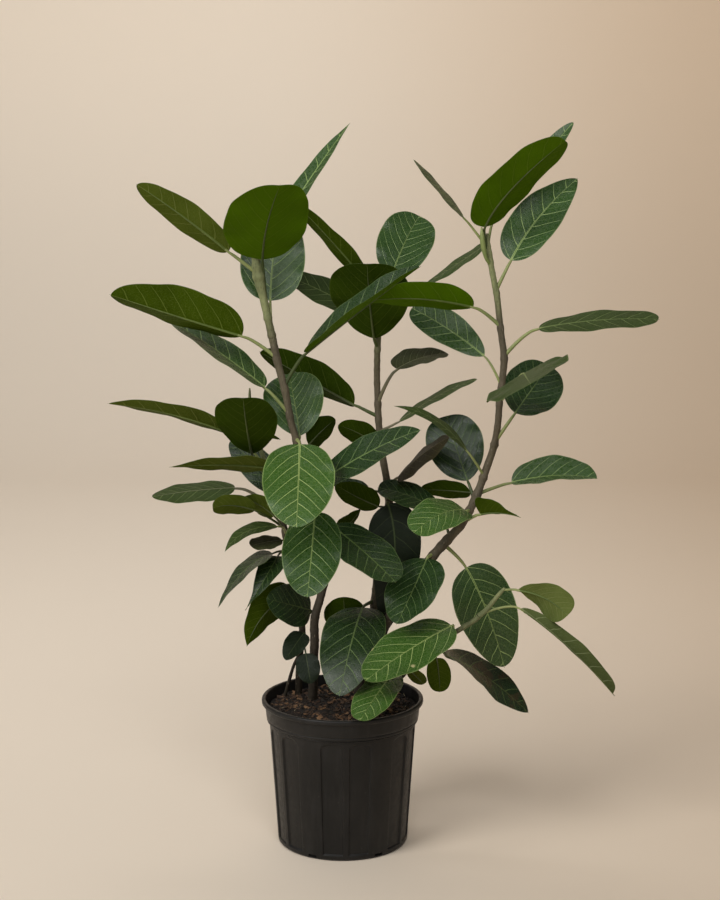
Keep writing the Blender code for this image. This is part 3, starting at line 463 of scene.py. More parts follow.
def add_blade(growth, leaf, tone):
    """Both faces and the rim of a blade, with its fold, its waved margin and its swelling."""
    t = .5 - .5 * np.cos(np.linspace(0, math.pi, LEAF_ROWS))
    s = np.linspace(-1, 1, LEAF_STRIPS + 1)[None, :]
    at, _, normal, side = leaf_frame(leaf, t)
    width, fold = leaf[7], math.radians(leaf[8])
    least = np.where(t < .5, .16, .05)
    half = np.maximum(np.where((t > 0) & (t < 1), outline(np.clip(t, 1e-9, 1 - 1e-9), leaf[9]), 0) * width / 2, least)
    half, t = half[:, None], t[:, None]
    lift = half * (np.sqrt(s * s + .006) - .077) * math.sin(fold)
    ends = np.minimum(1, np.minimum(6 * t, 6 - 6 * t))
    lift = lift + s * s * WAVE * width * np.sin(14 * t + leaf[3][1] + 2 * np.sign(s)) * ends
    lift = lift + abs(s) ** 3 * .004 * width * np.sin(33 * t + leaf[3][0] + 3 * np.sign(s)) * ends
    length = np.linalg.norm(np.diff(at, axis=0), axis=1).sum()
    x = s * half / length
    course = vein_course(x, t)
    swell = np.abs(np.sin(math.pi * course)) ** .7 * smooth((course + .2) / .4)
    swell = swell * smooth(np.abs(s) / .15) * (1 - s ** 4) * ends
    lift = lift + PUFF * min(1, width / 8) * swell
    middle = at[:, None] + side[:, None] * (half * s)[..., None] * math.cos(fold)
    middle = middle + normal[:, None] * lift[..., None]
    along, across = np.gradient(middle, axis=0), np.gradient(middle, axis=1)
    out = unit(np.cross(across, along))
    thick = (BLADE * (1 - .55 * s ** 4) / 2 * np.ones_like(t))[..., None]
    ones = np.ones_like(x)
    mark = np.stack([x, t * ones, s * ones, tone * ones], axis=-1)
    over = growth.skin(middle + out * thick, UPPER, mark)
    under = growth.skin(middle - out * thick, UNDER, mark, flip=True)
    rim = [over[0], over[1:, -1], over[-1, -2::-1], over[-2:0:-1, 0]]
    low = [under[0], under[1:, -1], under[-1, -2::-1], under[-2:0:-1, 0]]
    rim, low = np.concatenate(rim), np.concatenate(low)
    ring = np.stack([np.roll(rim, -1), rim, low, np.roll(low, -1)], axis=-1)
    growth.faces += [tuple(int(v) for v in f) for f in ring]
    growth.finish += [UPPER] * len(ring)


def add_stalk(growth, leaf):
    """The stalk from its stem to the blade, and on under the blade as the midrib."""
    row = stem_row(leaf[1], leaf[2])
    foot, foot_radius = place(*row[:3]), row[3]
    at, way, normal, _ = leaf_frame(leaf, np.array((0.0, 1.0)))
    end = at[0]
    control = end - way[0] * np.linalg.norm(end - foot) * .3
    u = np.linspace(0, 1, 16)[:, None]
    path = (1 - u) ** 2 * foot + 2 * u * (1 - u) * control + u * u * end
    slim = .72 if leaf[7] < 6 else 1
    u = u[:, 0]
    thick = slim * (np.interp(u, (0, .4, .75, 1), STALK_RADII) + .04 * smooth((.1 - u) / .1))
    thick = np.minimum(thick, max(foot_radius * .85, .12))
    t = np.linspace(0, 1.012, 30)[1:]
    ribs, _, up, _ = leaf_frame(leaf, t)
    rib_thick = slim * (.17 * np.clip(1 - t, 0, 1) ** .8 + .02)
    path = path - normal[0] * (smooth((u - .7) / .3) * np.maximum(thick - BLADE, 0))[:, None]
    ribs = ribs - up * np.maximum(rib_thick - BLADE * .75, 0)[:, None]
    first = len(growth.finish)
    add_tube(growth, np.concatenate([path, ribs]), np.concatenate([thick, rib_thick]), SIDES, STALK)
    ribbed = range(first + len(path) * SIDES, first + (len(path) + len(ribs) - 1) * SIDES)
    for k in ribbed:
        growth.finish[k] = RIB


def bark_rings(stem, low, high, sides, seed):
    """A stem's rings between two heights as seen, with leaf scars and small bumps."""
    kept = [row for row in STEMS[stem] if (low or 0) < row[1] < (high or math.inf)]
    if low:
        kept.insert(0, stem_row(stem, low))
    if high:
        kept.append(stem_row(stem, high))
    spots = [(*place(*row[:3]), row[3]) for row in kept]
    if not low:
        a, b = np.array(spots[0]), np.array(spots[1])
        start = a - (b - a) * ((a[2] - SOIL_LEVEL + .3) / (b[2] - a[2]))
        start[3] = a[3] * 1.08
        root = np.array((start[0] * .98, start[1] * .98, SOIL_LEVEL - STEM_DEPTH * .5, start[3]))
        spots[:0] = [root, start]
    line = flowing(spots, .3)
    draw = random.Random(seed)
    feet = [place(*stem_row(stem, leaf[2])[:3])[2] for leaf in LEAVES if leaf[1] == stem]
    height, scars = SOIL_LEVEL + 1, []
    while height < line[-1, 2]:
        scars.append((height, draw.uniform(.04, .1), draw.uniform(.15, .3)))
        height += draw.uniform(1.2, 3.2)
    scars += [(foot - .35, .16, .45) for foot in feet]
    radius = line[:, 3].copy()
    for height, amount, reach in scars:
        radius *= 1 + amount * np.exp(-((line[:, 2] - height) / reach) ** 2)
    angles = np.arange(sides) * 2 * math.pi / sides
    uneven = 1 + .035 * np.sin(3 * angles[None] + line[:, 2:3] * .5 + seed) \
        + .025 * np.sin(5 * angles[None] - line[:, 2:3] * .9)
    tip = place(*STEMS[stem][-1][:3])[2]
    green = smooth((GREEN_LENGTH[stem] - (tip - line[:, 2])) / (GREEN_LENGTH[stem] * .7) + .15)
    return line[:, :3], radius[:, None] * uneven, green


def add_stem(growth, stem, low, high, finish, seed, sides=20):
    path, radii, green = bark_rings(stem, low, high, sides, seed)
    marks = np.zeros((len(path), sides, 4))
    marks[..., 3] = green[:, None]
    index = growth.skin(rings(path, radii, sides), finish, marks, wrap=True)
    growth.cap(index[0, :-1], finish, flip=True)
    growth.cap(index[-1, :-1], finish)


def add_sheath(growth, foot, rows, stem):
    path = [place(*stem_row(stem, foot)[:3])] + [place(*row[:3]) for row in rows]
    spots = [(*p, r) for p, r in zip(path, [rows[0][3]] + [row[3] for row in rows])]
    line = flowing(spots, .3)
    add_tube(growth, line[:, :3], line[:, 3], 12, STALK)


# Finishes

def link_in(tree, value, socket):
    """Sets a socket to a value, or links a node's output to it."""
    if isinstance(value, bpy.types.NodeSocket):
        tree.links.new(value, socket)
    elif value is not None:
        socket.default_value = value


def calc(tree, operation, a, b=None, c=None, clamp=False):
    node = tree.nodes.new("ShaderNodeMath")
    node.operation, node.use_clamp = operation, clamp
    for value, socket in zip((a, b, c), node.inputs):
        link_in(tree, value, socket)
    return node.outputs[0]


def ramp(tree, value, low, high, to_low=0.0, to_high=1.0):
    """Maps low..high smoothly to two values."""
    node = tree.nodes.new("ShaderNodeMapRange")
    node.interpolation_type = "SMOOTHSTEP"
    for name, setting in (("Value", value), ("From Min", low), ("From Max", high), ("To Min", to_low), ("To Max", to_high)):
        link_in(tree, setting, node.inputs[name])
    return node.outputs["Result"]


def mix(tree, part, a, b, kind="MIX"):
    """Mixes two colours."""
    node = tree.nodes.new("ShaderNodeMix")
    node.data_type, node.blend_type = "RGBA", kind
    link_in(tree, part, node.inputs[0])
    for value, socket in ((a, node.inputs[6]), (b, node.inputs[7])):
        link_in(tree, (*value, 1) if isinstance(value, tuple) and len(value) == 3 else value, socket)
    return node.outputs[2]


def grain(tree, vector, scale, detail=3.0, rough=.5, distortion=0.0):
    node = tree.nodes.new("ShaderNodeTexNoise")
    link_in(tree, vector, node.inputs["Vector"])
    for name, value in (("Scale", scale), ("Detail", detail), ("Roughness", rough), ("Distortion", distortion)):
        link_in(tree, value, node.inputs[name])
    return node.outputs["Fac"]


def effect(name, inputs, outputs):
    """An empty shader group with its sockets; inputs are (name, kind, default)."""
    group = bpy.data.node_groups.new(name, "ShaderNodeTree")
    for label, kind, default in inputs:
        socket = group.interface.new_socket(label, in_out="INPUT", socket_type="NodeSocket" + kind)
        if default is not None:
            socket.default_value = default
    for label, kind in outputs:
        group.interface.new_socket(label, in_out="OUTPUT", socket_type="NodeSocket" + kind)
    start, end = group.nodes.new("NodeGroupInput"), group.nodes.new("NodeGroupOutput")
    return group, start.outputs, end.inputs


def use(tree, group, **settings):
    """Places a group in a material's tree, with its settings by name."""
    node = tree.nodes.new("ShaderNodeGroup")
    node.node_tree = group
    for label, value in settings.items():
        link_in(tree, value, node.inputs[label.replace("_", " ")])
    return node.outputs


def leaf_vein_effect():
    """Midrib, arched side veins with the pair from the leaf's foot, and the fine net between."""
    tree, given, result = effect(
        "leaf veins",
        [("Place", "Vector", None), ("Midrib Width", "Float", .012), ("Vein Width", "Float", .006),
         ("Net Scale", "Float", 42.0)],
        [("Midrib", "Float"), ("Veins", "Float"), ("Net", "Float"), ("Swelling", "Float"), ("Margin", "Float")])
    split = tree.nodes.new("ShaderNodeSeparateXYZ")
    tree.links.new(given["Place"], split.inputs[0])
    x, t, s = split.outputs
    away = calc(tree, "ABSOLUTE", x)
    right = calc(tree, "GREATER_THAN", x, 0.0)
    shift = calc(tree, "MULTIPLY", calc(tree, "MULTIPLY", right, VEIN_SHIFT), ramp(tree, t, 0.0, .2))
    rise = calc(tree, "ADD", calc(tree, "MULTIPLY", away, VEIN_SLOPE),
                calc(tree, "MULTIPLY", calc(tree, "POWER", away, 2.0), VEIN_CURVE))
    wander = calc(tree, "MULTIPLY", calc(tree, "SUBTRACT", grain(tree, given["Place"], 3.0, 2.0), .5), .03)
    course = calc(tree, "DIVIDE", calc(tree, "ADD", calc(tree, "SUBTRACT", t, rise), wander), VEIN_SPACING)
    course = calc(tree, "ADD", course, shift)
    near = calc(tree, "ABSOLUTE", calc(tree, "SUBTRACT", calc(tree, "FRACT", calc(tree, "ADD", course, .5)), .5))
    gap = calc(tree, "MULTIPLY", near, VEIN_SPACING)
    taper = calc(tree, "SUBTRACT", 1.0, calc(tree, "MULTIPLY", calc(tree, "ABSOLUTE", s), .5))
    width = calc(tree, "MULTIPLY", given["Vein Width"], taper)
    line = ramp(tree, gap, width, calc(tree, "MULTIPLY", width, .35), 0.0, 1.0)
    within = calc(tree, "MULTIPLY", ramp(tree, course, -.25, -.1), ramp(tree, calc(tree, "ABSOLUTE", s), .99, .86))
    line = calc(tree, "MULTIPLY", line, within)
    between = ramp(tree, calc(tree, "ABSOLUTE", calc(tree, "SUBTRACT", calc(tree, "FRACT", course), .5)), .035, .01)
    between = calc(tree, "MULTIPLY", calc(tree, "MULTIPLY", between, within), ramp(tree, calc(tree, "ABSOLUTE", s), .7, .2))
    line = calc(tree, "MAXIMUM", line, calc(tree, "MULTIPLY", between, .14))
    rib = calc(tree, "MULTIPLY", given["Midrib Width"], calc(tree, "SUBTRACT", 1.0, calc(tree, "MULTIPLY", t, .8)))
    tree.links.new(ramp(tree, away, rib, calc(tree, "MULTIPLY", rib, .45)), result["Midrib"])
    tree.links.new(line, result["Veins"])
    cells = tree.nodes.new("ShaderNodeTexVoronoi")
    cells.feature = "DISTANCE_TO_EDGE"
    tree.links.new(given["Place"], cells.inputs["Vector"])
    tree.links.new(given["Net Scale"], cells.inputs["Scale"])
    tree.links.new(ramp(tree, cells.outputs["Distance"], .1, .0), result["Net"])
    tree.links.new(ramp(tree, near, 0.0, .3), result["Swelling"])
    tree.links.new(ramp(tree, calc(tree, "ABSOLUTE", s), .955, .99), result["Margin"])
    return tree


def leaf_patch_effect():
    """Soft uneven patches over a surface, and small sparse spots."""
    tree, given, result = effect(
        "patches and spots",
        [("Where", "Vector", None), ("Patch Scale", "Float", 12.0), ("Spot Scale", "Float", 60.0), ("Spots", "Float", .1)],
        [("Patches", "Float"), ("Fine", "Float"), ("Spots", "Float")])
    tree.links.new(ramp(tree, grain(tree, given["Where"], given["Patch Scale"], 4.0, .55), .3, .7), result["Patches"])
    tree.links.new(grain(tree, given["Where"], calc(tree, "MULTIPLY", given["Patch Scale"], 14.0), 3.0, .6), result["Fine"])
    cells = tree.nodes.new("ShaderNodeTexVoronoi")
    tree.links.new(given["Where"], cells.inputs["Vector"])
    tree.links.new(given["Spot Scale"], cells.inputs["Scale"])
    sparse = tree.nodes.new("ShaderNodeSeparateColor")
    tree.links.new(cells.outputs["Color"], sparse.inputs[0])
    chosen = calc(tree, "LESS_THAN", sparse.outputs[0], given["Spots"])
    tree.links.new(calc(tree, "MULTIPLY", ramp(tree, cells.outputs["Distance"], .35, .2), chosen), result["Spots"])
    return tree


def finish(name):
    """A material with its Principled shader."""
    made = bpy.data.materials.new(name)
    made.use_nodes = True
    return made, made.node_tree, made.node_tree.nodes["Principled BSDF"]


def surface_place(tree):
    return tree.nodes.new("ShaderNodeTexCoord").outputs["Object"]


def bump(tree, shader, height, strength, distance):
    node = tree.nodes.new("ShaderNodeBump")
    node.inputs["Strength"].default_value = strength
    node.inputs["Distance"].default_value = distance
    tree.links.new(height, node.inputs["Height"])
    tree.links.new(node.outputs[0], shader.inputs["Normal"])


def leaf_finish(name, veins, patches, deep, pale, vein, upper=True, marks=None, rough=.38, shine=.02):
    """One face of a leaf. deep and pale are the blade's two greens, vein its veins' colour."""
    made, tree, shader = finish(name)
    where = tree.nodes.new("ShaderNodeAttribute")
    where.attribute_name = "leaf_place"
    tone = tree.nodes.new("ShaderNodeAttribute")
    tone.attribute_name = "leaf_tone"
    lines = use(tree, veins, Place=where.outputs["Vector"], Midrib_Width=.0125 if upper else .015,
                Vein_Width=.0062 if upper else .007)
    spots = marks[3] if marks else .0
    soft = use(tree, patches, Where=surface_place(tree), Patch_Scale=14.0, Spot_Scale=45.0, Spots=spots)
    part = calc(tree, "MULTIPLY", soft["Patches"], .55)
    part = calc(tree, "ADD", part, calc(tree, "MULTIPLY", tone.outputs["Fac"], .45))
    green = mix(tree, part, deep, pale)
    # paler on the swellings between the side veins and darker in the grooves beside them: painted light and shade of
    # the puckered blade
    green = mix(tree, calc(tree, "MULTIPLY", lines["Swelling"], .25), green, pale)
    green = mix(tree, calc(tree, "MULTIPLY", lines["Net"], .24 if upper else .4), green, vein)
    green = mix(tree, calc(tree, "MULTIPLY", lines["Veins"], .85 if upper else .75), green, vein)
    green = mix(tree, calc(tree, "MULTIPLY", lines["Midrib"], .95), green, vein)
    green = mix(tree, calc(tree, "MULTIPLY", lines["Margin"], .35), green, vein)
    if marks:
        worn = ramp(tree, grain(tree, surface_place(tree), 26.0, 4.0, .65, 1.2), marks[1], marks[1] + .1)
        green = mix(tree, calc(tree, "MULTIPLY", worn, marks[2]), green, marks[0])
        green = mix(tree, soft["Spots"], green, marks[0])
    tree.links.new(green, shader.inputs["Base Color"])
    base = ramp(tree, soft["Fine"], .3, .7, rough - .06, rough + .08)
    base = calc(tree, "ADD", base, calc(tree, "MULTIPLY", lines["Midrib"], .12))
    tree.links.new(base, shader.inputs["Roughness"])
    shader.inputs["Specular IOR Level"].default_value = shine
    height = calc(tree, "MULTIPLY", lines["Veins"], -.3 if upper else .8)
    height = calc(tree, "ADD", height, calc(tree, "MULTIPLY", lines["Swelling"], .15))
    height = calc(tree, "ADD", height, calc(tree, "MULTIPLY", lines["Midrib"], .4))
    height = calc(tree, "ADD", height, calc(tree, "MULTIPLY", soft["Fine"], .2))
    height = calc(tree, "SUBTRACT", height, calc(tree, "MULTIPLY", lines["Net"], .1 if upper else -.12))
    bump(tree, shader, height, .5, .001)
    return made


def rib_finish(name, patches, deep, pale):
    """A stalk, or the raised midrib under a blade."""
    made, tree, shader = finish(name)
    soft = use(tree, patches, Where=surface_place(tree), Patch_Scale=18.0)
    green = mix(tree, soft["Patches"], deep, pale)
    green = mix(tree, ramp(tree, soft["Fine"], .55, .75, 0.0, .35), green, tuple(v * .5 for v in deep))
    tree.links.new(green, shader.inputs["Base Color"])
    tree.links.new(ramp(tree, soft["Fine"], .3, .7, .4, .6), shader.inputs["Roughness"])
    bump(tree, shader, soft["Fine"], .3, .0008)
    return made


def bark_finish(name, patches):
    """Grey-brown bark, darker towards the soil by painted shade, that turns green towards the stem's tip, by the
    stem's own greenness.
    """
    made, tree, shader = finish(name)
    stretch = tree.nodes.new("ShaderNodeMapping")
    stretch.inputs["Scale"].default_value = (1.0, 1.0, .35)
    tree.links.new(surface_place(tree), stretch.inputs["Vector"])
    soft = use(tree, patches, Where=stretch.outputs[0], Patch_Scale=40.0, Spot_Scale=330.0, Spots=.22)
    tone = tree.nodes.new("ShaderNodeAttribute")
    tone.attribute_name = "leaf_tone"
    height = tree.nodes.new("ShaderNodeSeparateXYZ")
    tree.links.new(surface_place(tree), height.inputs[0])
    # darker low on the stems and lighter higher up, by height alone: painted shade of the foliage on the lower stems
    old = mix(tree, ramp(tree, height.outputs[2], .3, .62), (.028, .021, .012), (.085, .07, .042))
    grown = mix(tree, ramp(tree, height.outputs[2], .3, .62), (.045, .035, .021), (.125, .1, .062))
    colour = mix(tree, soft["Patches"], old, grown)
    green = calc(tree, "ADD", tone.outputs["Fac"], calc(tree, "MULTIPLY", soft["Patches"], .3))
    green = ramp(tree, green, .15, 1.1)
    colour = mix(tree, calc(tree, "MULTIPLY", soft["Spots"], calc(tree, "SUBTRACT", .5, calc(tree, "MULTIPLY", green, .4))),
                 colour, (.26, .22, .16))
    colour = mix(tree, green, colour, mix(tree, soft["Patches"], (.13, .15, .06), (.25, .27, .12)))
    colour = mix(tree, ramp(tree, soft["Fine"], .5, .75, 0.0, .5), colour, (.03, .024, .014))
    tree.links.new(colour, shader.inputs["Base Color"])
    tree.links.new(ramp(tree, soft["Fine"], .3, .7, .6, .85), shader.inputs["Roughness"])
    relief = calc(tree, "ADD", soft["Fine"], calc(tree, "MULTIPLY", soft["Spots"], .5))
    bump(tree, shader, relief, .7, .0015)
    return made


def pot_finish(patches):
    """Moulded black plastic, satin, with sparse pale specks of dust and soft scuffs."""
    made, tree, shader = finish("pot_black_plastic")
    spot = surface_place(tree)
    soft = use(tree, patches, Where=spot, Patch_Scale=9.0, Spot_Scale=160.0, Spots=.02)
    stretch = tree.nodes.new("ShaderNodeMapping")
    stretch.inputs["Scale"].default_value = (1.0, 1.0, .12)
    tree.links.new(spot, stretch.inputs["Vector"])
    streaks = ramp(tree, grain(tree, stretch.outputs[0], 60.0, 3.0, .6), .45, .75)
    colour = mix(tree, soft["Patches"], (.005, .0048, .0045), (.0105, .0099, .0091))
    colour = mix(tree, calc(tree, "MULTIPLY", streaks, .3), colour, (.032, .03, .028))
    colour = mix(tree, calc(tree, "MULTIPLY", soft["Spots"], .2), colour, (.05, .046, .04))
    tree.links.new(colour, shader.inputs["Base Color"])
    tree.links.new(calc(tree, "ADD", ramp(tree, soft["Fine"], .3, .7, .36, .5), calc(tree, "MULTIPLY", streaks, .08)), shader.inputs["Roughness"])
    shader.inputs["Specular IOR Level"].default_value = .3
    bump(tree, shader, soft["Fine"], .22, .0006)
    return made


def earth_finish(name, patches, dark, pale, scale=90.0, rough=.92):
    made, tree, shader = finish(name)
    soft = use(tree, patches, Where=surface_place(tree), Patch_Scale=scale, Spot_Scale=scale * 5, Spots=.08)
    colour = mix(tree, soft["Patches"], dark, pale)
    colour = mix(tree, ramp(tree, soft["Fine"], .5, .8, 0.0, .7), colour, tuple(v * .35 for v in dark))
    colour = mix(tree, calc(tree, "MULTIPLY", soft["Spots"], .5), colour, tuple(v * 1.8 for v in pale))
    tree.links.new(colour, shader.inputs["Base Color"])
    shader.inputs["Roughness"].default_value = rough
    bump(tree, shader, soft["Fine"], .8, .002)
    return made


# The pot and the soil

def around(angle, radius, height):
    """Points from angles in degrees, seen from above with the front at 0."""
    turn = np.radians(angle)
    return np.stack([np.sin(turn) * radius, -np.cos(turn) * radius, height + 0 * turn], axis=-1)


def pot_angles():
    """Angles round the pot, close together at the flutes' sides and the drain notches."""
    found = []
    for turn in range(360 // PERIOD):
        start = turn * PERIOD
        for a, b in FLUTES:
            found += list(np.linspace(a - .1, a + .9, 6) + start)
            found += list(np.linspace(a + .9, b - .9, 13)[1:-1] + start)
            found += list(np.linspace(b - .9, b + .1, 6) + start)
        found += list(np.linspace(FLUTES[0][1] + .1, FLUTES[1][0] - .1, 5)[1:-1] + start)
        for offset in (-8, -6, -4.6, -3.9, -3.6, -2, 0, 2, 3.6, 3.9, 4.6, 6, 8):
            found.append(RIB_MIDDLE + offset + start)
    return np.array(sorted(found))


def wall_radius(height):
    part = (height - WALL_FOOT[1]) / (WALL_TOP[1] - WALL_FOOT[1])
    return WALL_FOOT[0] + (WALL_TOP[0] - WALL_FOOT[0]) * part


def flute_mask(angle, height):
    """How far into a flute each angle is at this height: 0 on the ribs, 1 in the flute."""
    local = (angle - FLUTES[0][0]) % PERIOD + FLUTES[0][0]
    mask = np.zeros_like(angle)
    for a, b in FLUTES:
        across = np.clip((local - (a + b) / 2) / ((b - a) / 2), -1, 1)
        inside = smooth((local - a) / .8) * smooth((b - local) / .8)
        top = FLUTE_TOP - FLUTE_ARCH * (1 - np.sqrt(np.clip(1 - across ** 2 * .96, 0, 1)))
        mask = np.maximum(mask, inside * smooth((top - height) / .22) * smooth((height - FLUTE_FOOT) / .22))
    return mask


def notch_mask(angle, height):
    away = np.abs((angle - RIB_MIDDLE + PERIOD / 2) % PERIOD - PERIOD / 2)
    return smooth((3.85 - away) / .25) * smooth((height - .3) / .08) * smooth((.78 - height) / .08)


def add_pot(growth):
    corner = [(10.12 + .6 * math.sin(a), .6 - .6 * math.cos(a)) for a in np.radians(np.linspace(0, 78, 22))]
    wall_heights = [*np.linspace(.8, 1.3, 9), *np.linspace(1.5, 17.9, 22), *np.linspace(18.1, 20.3, 34)]
    collar = [
        (12.0, 20.36), (12.1, 20.4), (12.2, 20.43), (12.23, 20.5), (12.19, 20.55), (12.17, 20.6), (12.3, 20.64),
        (12.4, 20.7), (12.44, 20.8), (12.45, 20.95), (12.47, 21.1), (12.43, 21.14), (12.43, 21.18), (12.5, 21.22),
        (12.55, 21.6), (12.62, 22.4), (12.69, 23.2), (12.7, 23.38), (12.74, 23.46), (12.85, 23.5), (13.05, 23.51),
        (13.17, 23.55), (13.23, 23.63), (13.25, 23.75), (13.25, 24.0), (13.23, 24.12), (13.17, 24.22), (13.07, 24.28),
        (12.95, POT_HEIGHT), (12.8, POT_HEIGHT), (12.68, 24.27), (12.61, 24.2), (12.58, 24.1), (12.56, 23.9),
    ]
    inner = [(12.45, 23.2), (12.3, 22.3), (12.15, 21.2), (12.1, 20.9), (11.75, 20.4), (11.55, 20.0), (11.0, 10.0), (10.4, 1.0), (10.2, .9), (5.0, .88)]
    foot = [(5.0, .12), (9.3, .12), (9.4, .06), (9.5, .01), (9.6, 0)]
    angles = pot_angles()
    grid = [around(angles, r, z) for r, z in foot]
    grid += [around(angles, r - .45 * notch_mask(angles, z), z) for r, z in corner]
    grid += [around(angles, wall_radius(z) - FLUTE_DEPTH * flute_mask(angles, z), z) for z in wall_heights]
    grid += [around(angles, r, z) for r, z in collar + inner]
    index = growth.skin(np.array(grid), 0, wrap=True)
    growth.cap(index[0, :-1], 0, flip=True)
    growth.cap(index[-1, :-1], 0)


def soil_height(x, y):
    """The top of the soil at a place."""
    radius = math.hypot(x, y)
    level = SOIL_LEVEL - .2 + .3 * (1 - (radius / 12.2) ** 2)
    level += .22 * noise.noise(Vector((x * .45, y * .45, 3))) + .13 * noise.noise(Vector((x * 1.5, y * 1.5, 7)))
    return level + .05 * noise.noise(Vector((x * 4.5, y * 4.5, 1)))


def add_soil(growth):
    angles = np.arange(144) * 2.5
    grid = []
    for radius, height in ((10.0, 1.05), (10.9, 10.0), (11.45, 19.9), (12.02, 20.9)):
        grid.append(around(angles, radius, height))
    for radius in np.concatenate([[12.12], np.linspace(12.0, .4, 46)]):
        ring = around(angles, radius, 0)
        ring[:, 2] = [soil_height(x, y) for x, y, _ in ring]
        grid.append(ring)
    index = growth.skin(np.array(grid), 0, wrap=True)
    growth.cap(index[0, :-1], 0, flip=True)
    growth.cap(index[-1, :-1], 0)


def add_chip(growth, draw, centre, size, finish, flatness):
    """A small broken piece with eight uneven corners."""
    turn, tilt, roll = draw.uniform(0, math.pi), draw.gauss(0, flatness), draw.gauss(0, flatness)
    along = np.array((math.cos(turn), math.sin(turn), math.sin(tilt)))
    across = np.array((-math.sin(turn), math.cos(turn), math.sin(roll)))
    up = unit(np.cross(along, across))
    corners = []
    for k in range(8):
        part = [(1 if k >> axis & 1 else -1) * draw.uniform(.6, 1.15) * size[axis] / 2 for axis in range(3)]
        corners.append(centre + along * part[0] + across * part[1] + up * part[2])
    faces = [(0, 2, 3, 1), (4, 5, 7, 6), (0, 1, 5, 4), (2, 6, 7, 3), (0, 4, 6, 2), (1, 3, 7, 5)]
    faces = [tuple(growth.count + v for v in f) for f in faces]
    growth.add(np.array(corners), faces, finish)


def add_litter(growth, seed):
    """Crumbs, bark chips and pale straw on the soil."""
    draw = random.Random(seed)
    kinds = [
        (1500, (.3, .25, .2), 0, .6), (420, (.75, .4, .22), 1, .35), (170, (1.0, .5, .2), 2, .3),
        (30, (1.3, .06, .05), 3, .3),
    ]
    for count, size, finish, flatness in kinds:
        for _ in range(count):
            radius, turn = 11.7 * math.sqrt(draw.random()), draw.uniform(0, 2 * math.pi)
            x, y = radius * math.cos(turn), radius * math.sin(turn)
            scale = draw.uniform(.5, 1.3)
            centre = np.array((x, y, soil_height(x, y) + .06 * scale))
            add_chip(growth, draw, centre, [v * scale for v in size], finish, flatness)


